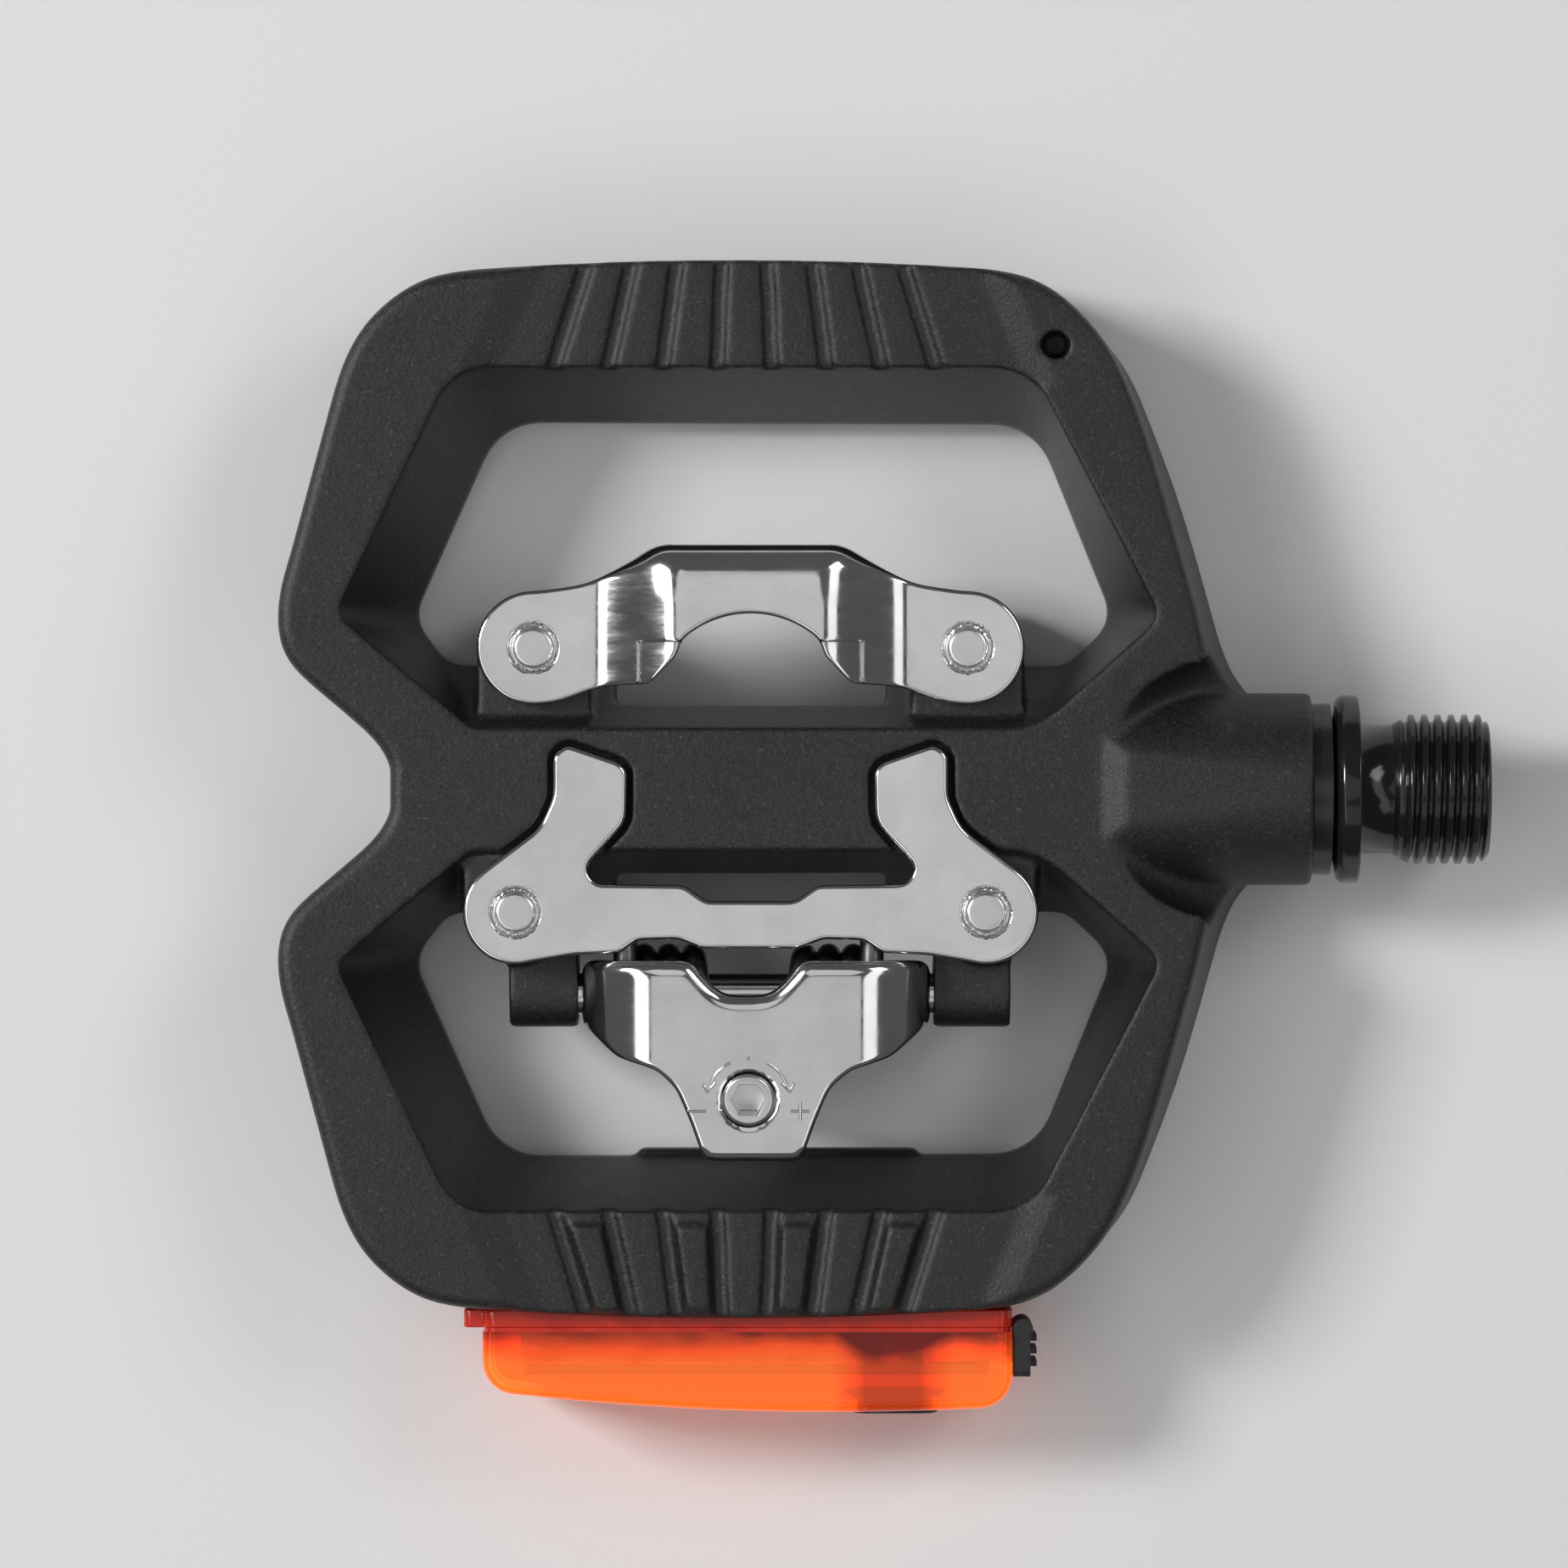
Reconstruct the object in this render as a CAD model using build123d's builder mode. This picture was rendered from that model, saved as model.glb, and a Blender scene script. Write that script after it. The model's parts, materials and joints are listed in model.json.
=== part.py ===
"""Left clipless trekking pedal: clip side up, plain platform side down, rear light on the heel edge.

Frame: X runs along the spindle and points at the crank arm, Y points at the toe, Z points out of the
clip side. The origin is on the spindle axis, at the shoulder that bears on the crank arm. Millimetres.
"""
from build123d import *
import math
import os

# ---------------------------------------------------------------- platform and axle housing
FLAT_Z = -10.5          # plain platform side
RIM_Z = 7.5             # top of the rim on the clip side
SILL_Z = -6.5           # where the window funnels end and the straight openings start
HOUSING_END_X = -92.1   # closed outer end of the axle housing
BOSS_R = 9.15
BOSS_X = -4.5           # mouth of the boss
BOSS_BACK_X = -25.0     # where the boss has run into the bar
RAMP_X0, RAMP_X1, RAMP_Z = -24.6, -22.3, 8.5      # ramp from the flat top up to the boss
EDGE_R = 1.2            # rounding along the rim's outer edge
CLIP_X = -57.9          # middle of the clip mechanism
SIDES = (-1, 1)

# ---------------------------------------------------------------- spindle and bearings
COLLAR_R, COLLAR_L = 8.95, 2.2
NECK_R, NECK_L = 6.15, 3.2
THREAD_R, THREAD_PITCH = 7.14, 1.27     # 9/16 inch x 20 turns per inch, left-hand
THREAD_X0, THREAD_X1 = 4.0, 12.4
THREAD_DEPTH = 0.65
SEAL_LAND_R = 6.0
SHAFT_R = 4.6                           # needle bearing seat
WAIST_R = 3.5
SEAT_R = 2.5                            # ball bearing seat
TAIL_R = 2.0                            # M4 thread for the lock nut
SPINDLE_END_X = -88.0
CUP_BORE_R, BORE_R = 6.85, 5.0           # the bore narrows past the needle bearing
MOUTH_R, MOUTH_L = 7.9, 5.5             # threaded mouth for the retaining nut
CUP_X0, CUP_X1 = -21.0, -10.0           # needle bearing
NEEDLE_R, NEEDLE_COUNT = 0.78, 14
RUN_GAP = 0.02
NEEDLE_PITCH_R = SHAFT_R + NEEDLE_R + RUN_GAP
CUP_R = NEEDLE_PITCH_R + NEEDLE_R + RUN_GAP
BALL_X0, BALL_X1 = -82.0, -78.0         # ball bearing, 5 x 10 x 4
BALL_R, BALL_COUNT, BALL_PITCH_R = 0.79, 9, 3.75
GROOVE_R = 0.81
INNER_LAND_R, OUTER_LAND_R = 3.25, 4.25
SHIELD_T = 0.25
SPACER_FLANGE_T = 1.0
NUT_POCKET_R, NUT_POCKET_X = 4.5, -89.6
LOCK_NUT_AF, LOCK_NUT_L, WASHER_T = 7.0, 3.8, 0.8

# ---------------------------------------------------------------- front claw
CLAW_T = 2.3
CLAW_RIVET_DX, CLAW_RIVET_Y = 20.6, 13.4
CLAW_END_R = 5.4
LEG_Z = 5.0             # underside of the claw's legs
BRIDGE_Z = 11.3         # top of the claw's bridge
CLAW_NOSE_Y = 23.2
CLAW_NOSE_R = 2.2
CLAW_NOSE_W = 15.2
COIN_DX, COIN_Y, COIN_W, COIN_L, COIN_DEPTH = 8.6, 12.0, 4.4, 4.1, 0.5   # pressed step at each leg's corner
RIVET_R, RIVET_RING_R, RIVET_RING_DEPTH, RIVET_PROUD = 1.9, 2.4, 0.5, 0.2

# ---------------------------------------------------------------- tread plate
PLATE_T = 2.0
PLATE_Z = 6.3           # underside of the tread plate
PLATE_RIVET_DX, PLATE_RIVET_Y = 22.3, -11.65
PLATE_END_R = 4.95
POCKET_GAP = 0.5

# ---------------------------------------------------------------- rear jaw and its tension gear
PIN_Y, PIN_Z, PIN_R = -19.5, 1.0, 2.0
JAW_X = -57.4           # middle of the jaw
JAW_HALF_W = 16.6       # half the width over the two ears
JAW_BEND_R = 7.0        # outside of the bend from the top down to each ear
JAW_T = 2.0
JAW_TOP_Z = 10.8
JAW_FRONT_Y, JAW_TAIL_Y = -16.2, -35.3
JAW_FALL = 0.225        # how far the top drops per millimetre towards the tail
LUG_GAP = 0.3
LUG_LENGTHS = {-1: 6.6, 1: 7.3}          # outer and crank side
LUG_R = 3.15
PIN_HALF_L = 22.4
SCREW_X, SCREW_Y = -58.1, -29.4
SCREW_R, SCREW_HOLE_R, SCREW_FLANGE_R = 2.5, 2.7, 3.5
SCREW_THREAD_R = 1.98   # M4
SCREW_L = 13.2
NUT_W, NUT_D, NUT_T = 5.8, 6.4, 3.0
NUT_DROP = 6.6          # from the top of the jaw down to the top of the nut
WIRE_R, COIL_R = 1.15, 3.65
COIL_IN, COIL_OUT = 4.2, 11.7           # ends of each coil, from the screw's axis
COIL_TURNS, COIL_LEAVE = 3, 80.0        # whole turns, and the angle past the top where the rear leg leaves
SPRING_FRONT_Y = -10.5
SPRING_TAIL = 3.2       # how far the spring's rear bridge lies behind the screw

# ---------------------------------------------------------------- rear light
LIGHT_X0, LIGHT_X1 = -83.4, -33.0       # lens
LIGHT_Z0, LIGHT_Z1 = -6.5, 4.5
LIGHT_SEAT_Y = -49.4                    # face of the platform that the light sits on
LIGHT_SPLIT_Y = -51.6                   # where the lens meets the back cover
LENS_OUT_Y, LENS_MID_Y, LENS_IN_Y = -57.2, -59.1, -58.7   # rear face at its outer end, middle and inner end
LENS_T = 1.2
LENS_CORNER_R = 3.2
BOARD_Y, BOARD_T = -54.9, 0.8
BUTTON_X, BUTTON_W, BUTTON_H = -44.2, 8.4, 6.0
BUTTON_FACE_Y = -59.5
FLANGE_X = -85.2
CLIP_HOOKS_X = (-72.0, -44.0)
PORT_Y, PORT_D, PORT_H = -53.3, 3.2, 8.8
PORT_COVER_X0, PORT_COVER_X1 = -32.9, -30.7
LIGHT_MID_X, LIGHT_MID_Z = (LIGHT_X0 + LIGHT_X1) / 2, (LIGHT_Z0 + LIGHT_Z1) / 2
LIGHT_W, LIGHT_H = LIGHT_X1 - LIGHT_X0, LIGHT_Z1 - LIGHT_Z0

os.makedirs("parts", exist_ok=True)


def save(part, node):
    """Label one sub-part and write it under its node's name."""
    part.label = node
    export_step(part, f"parts/{node}.step")


def turned(profile_points):
    """A solid of revolution about the spindle axis from (x, radius) points."""
    with BuildPart() as solid:
        with BuildSketch(Plane.XY):
            with BuildLine():
                Polyline(*profile_points, close=True)
            make_face()
        revolve(axis=Axis.X)
    return solid.part


def tube(x0, x1, r_in, r_out):
    """A plain tube about the spindle axis."""
    return turned([(x0, r_in), (x1, r_in), (x1, r_out), (x0, r_out)])


# ================================================================ body shell
def platform_outline(flank):
    """The platform seen from the clip side. flank is 0 on the plain side and 1 on the clip side,
    where the edge beside the crank leans in."""
    with BuildLine() as loop:
        end = Line((HOUSING_END_X, 0), (HOUSING_END_X, 2.0))
        notch = Spline(end @ 1, (-95.1, 6.1), (-99.8, 10.1), (-102.75, 16.2), tangents=[(-0.3, 1), (0, 1)])
        shoulder = Spline(notch @ 1, (-101.3, 23.3), tangents=[(0, 1), (4.9, 18.3)])
        side = Line(shoulder @ 1, (-97.6, 37.1))
        corner = Spline(side @ 1, (-94.1, 44.5), (-90.7, 47.4), (-84.0, 49.3), tangents=[(4.9, 18.3), (1, 0.1)])
        edge = ThreePointArc(corner @ 1, (-58.5, 50.2), (-36.0, 49.4))
        inner = Spline(
            edge @ 1,
            (-30.0 - 0.3 * flank, 48.0),
            (-25.1 - 0.7 * flank, 44.3),
            (-20.2 - 1.6 * flank, 37.2),
            tangents=[(1, -0.1), (0.4, -1)],
        )
        flank_top = (-13.6 - 2.2 * flank, 17.4)
        side_in = Spline(inner @ 1, (-16.6 - 2.1 * flank, 27.6), flank_top, tangents=[(0.4, -1), (0.28, -1)])
        root = Spline(side_in @ 1, (-9.5 - 3 * flank, 8.8), tangents=[(0.28, -1), (1.2, -1)])
        Line(root @ 1, ((root @ 1).X, 0))
        mirror(about=Plane.XZ)
    make_face(loop.edges())


def rounded(corners, radii):
    """A closed outline through corner points, each with its own rounding, made into a face."""
    with BuildLine() as loop:
        FilletPolyline(*corners, radius=radii, close=True)
    make_face(loop.edges())


WINDOW_RIM_R = (1.6, 2.0, 8.0, 1.8, 6.0, 6.0)
WINDOW_SILL_R = (3.4, 3.0, 3.0, 3.4, 6.0, 6.0)
WINDOW_RIM = ((-97.3, 16.6), (-84.4, 5.7), (-30.9, 5.7), (-19.0, 16.3), (-31.5, 40.3), (-86.0, 40.3))
WINDOW_SILL = ((-90.4, 16.4), (-87.0, 11.9), (-27.6, 11.8), (-23.0, 16.2), (-30.6, 35.1), (-82.0, 35.3))

with BuildPart() as window:
    with BuildSketch(Plane.XY.offset(RIM_Z + 0.01)):
        rounded(WINDOW_RIM, WINDOW_RIM_R)
    with BuildSketch(Plane.XY.offset(SILL_Z)):
        rounded(WINDOW_SILL, WINDOW_SILL_R)
    loft(ruled=True)
    with BuildSketch(Plane.XY.offset(SILL_Z)):
        rounded(WINDOW_SILL, WINDOW_SILL_R)
    extrude(amount=FLAT_Z - SILL_Z - 1)
    with BuildSketch(Plane.XY.offset(FLAT_Z - 1)):      # room for the shoe plate's nose between the legs
        with Locations((CLIP_X, 11.0)):
            Rectangle(25.9, 6.0)
    extrude(amount=RIM_Z - FLAT_Z)
rear_window = window.part.mirror(Plane.XZ)

# the rounded valley between the boss and each arm of the rim, shallow at the bar and deep at the crank
VALLEY_R = 3.5
VALLEY_START, VALLEY_END = Vector(-23.6, 4.8, 12.2), Vector(-8.5, 11.4, 1.9)
with BuildPart() as valley:
    with BuildSketch(Plane(origin=VALLEY_START, z_dir=VALLEY_END - VALLEY_START)):
        Circle(VALLEY_R)
    extrude(amount=(VALLEY_END - VALLEY_START).length)
rear_valley = valley.part.mirror(Plane.XZ)

TREAD_OUTLINE = (
    (-25.3, -7.7), (-20.0, -3.7), (-18.7, -0.8), (-18.7, 3.3), (-17.4, 4.2), (-12.4, 2.5), (-11.7, 1.7),
    (-11.8, -3.1), (-14.4, -5.9), (-15.8, -7.5), (-14.6, -9.0), (-6.3, -9.1), (-4.2, -10.6),
)
TREAD_ROUNDING = (0.0, 4.0, 3.0, 1.0, 0.8, 1.0, 0.8, 2.5, 0.0, 1.2, 1.2, 1.5, 1.5)
TREAD_REAR_ROUNDING = (0.0, 6.0, 1.2, 1.2, 1.5, 1.5)
TREAD_REAR = ((-21.5, -16.5), (-16.8, -15.7), (-12.4, -15.5), (-10.7, -14.3), (-6.9, -14.2), (-4.6, -15.1))


def tread_outline():
    """The tread plate seen from the clip side: two arms, a cross bar and a rounded lobe at each rivet."""
    half = [(x, y) for x, y in TREAD_OUTLINE]
    rear = [(x, y) for x, y in TREAD_REAR]
    loop = half + [(-x, y) for x, y in reversed(half)]
    loop += [(-x, y) for x, y in rear] + [(x, y) for x, y in reversed(rear)]
    radii = list(TREAD_ROUNDING) + list(reversed(TREAD_ROUNDING))
    radii += list(TREAD_REAR_ROUNDING) + list(reversed(TREAD_REAR_ROUNDING))
    rounded([(CLIP_X + x, y) for x, y in loop], radii)
    with Locations(*[(CLIP_X + side * PLATE_RIVET_DX, PLATE_RIVET_Y) for side in SIDES]):
        Circle(PLATE_END_R)


GRIP_COUNT, GRIP_W, GRIP_DEPTH = 8, 1.6, 0.6
GRIP_X, GRIP_OUT_Y, GRIP_IN_Y = -58.5, 50.8, 39.4
GRIP_STEP_OUT, GRIP_STEP_IN = 4.2, 5.22
FACET_DROP = 0.6                          # the grips' facet lies this far below the rim
FACET = ((-83.0, 38.0), (-76.5, 52.0), (-37.5, 52.0), (-31.5, 38.0))
FACET_SHOULDER = (-3.2, -3.2, 3.0, 3.0)   # how much wider it is where it meets the rim
RIB_IN_Y, RIB_OUT_Y, RIB_SLOPE = 41.1, 49.7, 35


def grip_x(i, y):
    """Where the middle of groove i lies at distance y from the spindle."""
    place = i - (GRIP_COUNT - 1) / 2
    step = GRIP_STEP_IN + (GRIP_STEP_OUT - GRIP_STEP_IN) * (y - GRIP_IN_Y) / (GRIP_OUT_Y - GRIP_IN_Y)
    return GRIP_X + place * step


def grip_grooves(face_z, up):
    """The fan of grip grooves along the toe and heel edges. up is 1 on the clip side, -1 on the plain side."""
    with BuildPart() as grooves:
        for side in SIDES:
            for i in range(GRIP_COUNT):
                with BuildSketch(Plane.XY.offset(face_z - up * GRIP_DEPTH)):
                    with BuildLine():
                        Line((grip_x(i, GRIP_IN_Y), side * GRIP_IN_Y), (grip_x(i, GRIP_OUT_Y), side * GRIP_OUT_Y))
                    trace(line_width=GRIP_W)
                extrude(amount=up * 3 * GRIP_DEPTH)
    return grooves.part


def grip_ribs(side):
    """The ribs that stand between every other pair of grooves, as high as the rim."""
    with BuildPart() as ribs:
        for i in range(0, GRIP_COUNT, 2):
            half = GRIP_W / 2
            with BuildSketch(Plane.XY.offset(RIM_Z - FACET_DROP - 0.01)):
                with BuildLine():
                    Polyline(
                        (grip_x(i, RIB_IN_Y) + half, side * RIB_IN_Y), (grip_x(i, RIB_OUT_Y) + half, side * RIB_OUT_Y),
                        (grip_x(i + 1, RIB_OUT_Y) - half, side * RIB_OUT_Y),
                        (grip_x(i + 1, RIB_IN_Y) - half, side * RIB_IN_Y),
                        close=True,
                    )
                make_face()
            extrude(amount=FACET_DROP, taper=RIB_SLOPE)
    return ribs.part


def grip_facet(side):
    """The shallow facet that the clip side's grips stand in, with a long soft shoulder at each end."""
    with BuildPart() as facet:
        with BuildSketch(Plane.XY.offset(RIM_Z - FACET_DROP)):
            with BuildLine():
                Polyline(*[(x, side * y) for x, y in FACET], close=True)
            make_face()
        with BuildSketch(Plane.XY.offset(RIM_Z + 0.02)):
            with BuildLine():
                Polyline(*[(x + wide, side * y) for (x, y), wide in zip(FACET, FACET_SHOULDER)], close=True)
            make_face()
        loft(ruled=True)
    return facet.part


with BuildPart() as body:
    with BuildSketch(Plane.XY.offset(FLAT_Z)):
        platform_outline(0)
    with BuildSketch(Plane.XY.offset(RIM_Z)):
        platform_outline(1)
    loft(ruled=True)
    fillet(body.faces().sort_by(Axis.Z)[-1].edges().filter_by(lambda e: e.center().X < -15), EDGE_R)
    add(window.part, mode=Mode.SUBTRACT)
    add(rear_window, mode=Mode.SUBTRACT)
    add(valley.part, mode=Mode.SUBTRACT)
    add(rear_valley, mode=Mode.SUBTRACT)
    with BuildSketch(Plane.YZ.offset(BOSS_X)):
        Circle(BOSS_R)
    extrude(amount=BOSS_BACK_X - BOSS_X)
    # the boss rises out of the flat top by a ramp, and is a little flat on top itself
    with BuildSketch(Plane.XZ.offset(-BOSS_R)):
        with BuildLine():
            Polyline(
                (BOSS_BACK_X - 1, RIM_Z), (RAMP_X0, RIM_Z), (RAMP_X1, RAMP_Z), (BOSS_X, BOSS_R),
                (BOSS_X, BOSS_R + 2), (BOSS_BACK_X - 1, BOSS_R + 2), close=True,
            )
        make_face()
    extrude(amount=2 * BOSS_R, mode=Mode.SUBTRACT)
    # lugs under the claw's legs
    for side in SIDES:
        with BuildSketch(Plane.XY.offset(SILL_Z)):
            with Locations((CLIP_X + side * CLAW_RIVET_DX, CLAW_RIVET_Y)):
                Circle(CLAW_END_R)
            with Locations((CLIP_X + side * CLAW_RIVET_DX, 10.0)):
                Rectangle(2 * CLAW_END_R, 7.0)
        extrude(amount=LEG_Z - SILL_Z)
        # lugs under the tread plate's rivets
        with BuildSketch(Plane.XY.offset(SILL_Z)):
            with Locations((CLIP_X + side * PLATE_RIVET_DX, PLATE_RIVET_Y)):
                Circle(PLATE_END_R)
            with Locations((CLIP_X + side * PLATE_RIVET_DX, PLATE_RIVET_Y + 3)):
                Rectangle(2 * PLATE_END_R, 6.0)
        extrude(amount=PLATE_Z - SILL_Z)
        # ears for the jaw's hinge pin
        ear_x0 = JAW_X + side * (JAW_HALF_W + LUG_GAP)
        with BuildSketch(Plane.YZ.offset(ear_x0)):
            with Locations((PIN_Y, PIN_Z)):
                Circle(LUG_R)
            with BuildLine():
                Polyline(
                    (PIN_Y, PIN_Z + LUG_R),
                    (PLATE_RIVET_Y, PIN_Z + LUG_R),
                    (PLATE_RIVET_Y, SILL_Z),
                    (PIN_Y, SILL_Z),
                    (PIN_Y - LUG_R, PIN_Z - 2),
                    (PIN_Y - LUG_R, PIN_Z),
                    close=True,
                )
            make_face()
        extrude(amount=side * LUG_LENGTHS[side])
    # pockets that the tread plate's arms sit in
    with BuildSketch(Plane.XY.offset(PLATE_Z)):
        tread_outline()
        offset(amount=POCKET_GAP, kind=Kind.ARC)
    extrude(amount=PLATE_T + 2, mode=Mode.SUBTRACT)
    # seat for the light on the heel edge
    with BuildSketch(Plane.XZ.offset(-LIGHT_SEAT_Y)):
        with Locations(((FLANGE_X + LIGHT_X1) / 2, LIGHT_MID_Z)):
            RectangleRounded(LIGHT_X1 - FLANGE_X + 0.6, LIGHT_H + 0.6, 2.0)
    extrude(amount=6.0, mode=Mode.SUBTRACT)
    # pad on the heel window's sill, under the jaw's tail
    with BuildSketch(Plane.XY.offset(FLAT_Z)):
        with BuildLine():
            Polyline((-69.8, -36.5), (-68.5, -34.5), (-42.2, -34.5), (-40.9, -36.5), close=True)
        make_face()
    extrude(amount=SILL_Z - FLAT_Z)
    add(grip_facet(1), mode=Mode.SUBTRACT)
    add(grip_facet(-1), mode=Mode.SUBTRACT)
    add(grip_ribs(1))
    add(grip_ribs(-1))
    add(grip_grooves(RIM_Z - FACET_DROP, 1), mode=Mode.SUBTRACT)
    add(grip_grooves(FLAT_Z, -1), mode=Mode.SUBTRACT)
    # bore, stepped for the retaining nut at the mouth and the lock nut at the closed end
    add(tube(BALL_X0, BOSS_X + 1, 0, BORE_R), mode=Mode.SUBTRACT)
    add(tube(CUP_X0 - SPACER_FLANGE_T, BOSS_X + 1, 0, CUP_BORE_R), mode=Mode.SUBTRACT)
    add(tube(BOSS_X - MOUTH_L, BOSS_X + 1, 0, MOUTH_R), mode=Mode.SUBTRACT)
    add(tube(NUT_POCKET_X, BALL_X0, 0, NUT_POCKET_R), mode=Mode.SUBTRACT)
    # hinge pin, rivets and the small blind hole in the toe edge
    with Locations(Plane.YZ.offset(CLIP_X)):
        with Locations((PIN_Y, PIN_Z)):
            Cylinder(PIN_R, 2 * PIN_HALF_L + 3.0, rotation=(0, 0, 0), mode=Mode.SUBTRACT)
    for dx, y in ((CLAW_RIVET_DX, CLAW_RIVET_Y), (PLATE_RIVET_DX, PLATE_RIVET_Y)):
        with Locations(*[(CLIP_X + side * dx, y, SILL_Z) for side in SIDES]):
            Cylinder(RIVET_R, 40, mode=Mode.SUBTRACT)
            Cylinder(3.3, 20, align=(Align.CENTER, Align.CENTER, Align.MAX), mode=Mode.SUBTRACT)
    with Locations((-29.0, 42.1, RIM_Z)):
        Cylinder(1.3, 6.0, mode=Mode.SUBTRACT)
    with Locations((-22.0, 9.7, RIM_Z)):      # ejector pin mark
        Cylinder(1.15, 0.3, mode=Mode.SUBTRACT)
    # slots for the light's two clip hooks
    for x in CLIP_HOOKS_X:
        with BuildSketch(Plane.XZ.offset(-LIGHT_SEAT_Y)):
            with Locations((x, LIGHT_MID_Z + 0.3)):
                Rectangle(5.8, 2.8)
        extrude(amount=-5.2, mode=Mode.SUBTRACT)
save(body.part, "body_shell")


# ================================================================ spindle
THREAD_COUNT = 6


def spindle_profile():
    """Half the spindle's section, with the rings of the crank thread."""
    points = [
        (SPINDLE_END_X, 0), (SPINDLE_END_X, TAIL_R - 0.3), (SPINDLE_END_X + 0.3, TAIL_R),
        (BALL_X0, TAIL_R), (BALL_X0, SEAT_R - 0.02), (BALL_X1, SEAT_R - 0.02),
        (BALL_X1, 3.0), (BALL_X1 + 1.0, WAIST_R), (CUP_X0 - 0.4, WAIST_R), (CUP_X0 + 0.4, SHAFT_R),
        (CUP_X1 + 0.6, SHAFT_R), (CUP_X1 + 1.4, SEAL_LAND_R), (-COLLAR_L - 0.4, SEAL_LAND_R),
        (-COLLAR_L, COLLAR_R - 0.5), (-COLLAR_L + 0.5, COLLAR_R), (0, COLLAR_R),
        (0, NECK_R), (NECK_L, NECK_R), (THREAD_X0, THREAD_R - THREAD_DEPTH),
    ]
    for turn in range(THREAD_COUNT):
        start = THREAD_X0 + 0.2 + turn * THREAD_PITCH
        points.append((start + THREAD_DEPTH / 2, THREAD_R))
        points.append((start + THREAD_PITCH - THREAD_DEPTH / 2, THREAD_R))
        points.append((start + THREAD_PITCH, THREAD_R - THREAD_DEPTH))
    points.append((THREAD_X1, THREAD_R - THREAD_DEPTH - 0.2))
    points.append((THREAD_X1, 0))
    return points


HEX_AF, HEX_DEPTH = 8.0, 6.5
with BuildPart() as spindle:
    add(turned(spindle_profile()))
    with BuildSketch(Plane.YZ.offset(THREAD_X1)):
        RegularPolygon(HEX_AF / 2, 6, major_radius=False)
    extrude(amount=-HEX_DEPTH, mode=Mode.SUBTRACT)
    with Locations(Location((THREAD_X1 - HEX_DEPTH, 0, 0), (0, -90, 0))):
        Cone(HEX_AF / 2 - 0.1, 0.3, 1.6, align=(Align.CENTER, Align.CENTER, Align.MIN), mode=Mode.SUBTRACT)
save(spindle.part, "spindle")

with BuildPart() as lock_nut:
    with BuildSketch(Plane.YZ.offset(BALL_X0 - WASHER_T)):
        RegularPolygon(LOCK_NUT_AF / 2, 6, major_radius=False)
        Circle(TAIL_R + 0.02, mode=Mode.SUBTRACT)
    extrude(amount=-LOCK_NUT_L)
    chamfer(lock_nut.faces().sort_by(Axis.X)[0].outer_wire().edges(), 0.35)
save(lock_nut.part, "lock_nut")
save(tube(BALL_X0 - WASHER_T, BALL_X0, TAIL_R + 0.1, 3.1), "spindle_washer")

# ================================================================ ball and needle bearings
BALL_X = (BALL_X0 + BALL_X1) / 2


def groove():
    """The ring that the balls run in, a little larger than the balls."""
    with BuildPart() as ring:
        with BuildSketch(Plane.XY):
            with Locations((BALL_X, BALL_PITCH_R)):
                Circle(GROOVE_R)
        revolve(axis=Axis.X)
    return ring.part


ball_groove = groove()
for node, r_in, r_out in (
    ("ball_bearing_inner_ring", SEAT_R, INNER_LAND_R),
    ("ball_bearing_outer_ring", OUTER_LAND_R, BORE_R),
):
    with BuildPart() as ring:
        add(tube(BALL_X0, BALL_X1, r_in, r_out))
        chamfer(ring.edges().filter_by(GeomType.CIRCLE).group_by(SortBy.RADIUS)[0 if r_in == SEAT_R else -1], 0.15)
        add(ball_groove, mode=Mode.SUBTRACT)
    save(ring.part, node)

with BuildPart() as balls:
    with Locations(Plane.YZ.offset(BALL_X)):
        with PolarLocations(BALL_PITCH_R, BALL_COUNT):
            Sphere(BALL_R)
save(balls.part, "bearing_balls")

with BuildPart() as ball_cage:
    add(tube(BALL_X - 1.1, BALL_X + 1.1, 3.5, 4.0))
    with Locations(Plane.YZ.offset(BALL_X)):
        with PolarLocations(BALL_PITCH_R, BALL_COUNT):
            Cylinder(BALL_R + 0.06, 2.0, rotation=(0, 90, 0), mode=Mode.SUBTRACT)
save(ball_cage.part, "ball_cage")

with BuildPart() as shields:
    add(tube(BALL_X0 + 0.05, BALL_X0 + 0.05 + SHIELD_T, INNER_LAND_R + 0.08, OUTER_LAND_R))
    add(tube(BALL_X1 - 0.05 - SHIELD_T, BALL_X1 - 0.05, INNER_LAND_R + 0.08, OUTER_LAND_R))
save(shields.part, "bearing_shields")

NEEDLE_L = 8.6
NEEDLE_X = (CUP_X0 + CUP_X1) / 2
with BuildPart() as cup:
    add(tube(CUP_X0, CUP_X1, CUP_R, CUP_BORE_R))
    add(tube(CUP_X0, CUP_X0 + 0.8, SHAFT_R + 0.5, CUP_R))
    add(tube(CUP_X1 - 0.8, CUP_X1, SHAFT_R + 0.5, CUP_R))
save(cup.part, "needle_bearing_cup")

with BuildPart() as needles:
    with BuildSketch(Plane.YZ.offset(NEEDLE_X - NEEDLE_L / 2)):
        with PolarLocations(NEEDLE_PITCH_R, NEEDLE_COUNT):
            Circle(NEEDLE_R)
    extrude(amount=NEEDLE_L)
save(needles.part, "bearing_needles")

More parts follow.
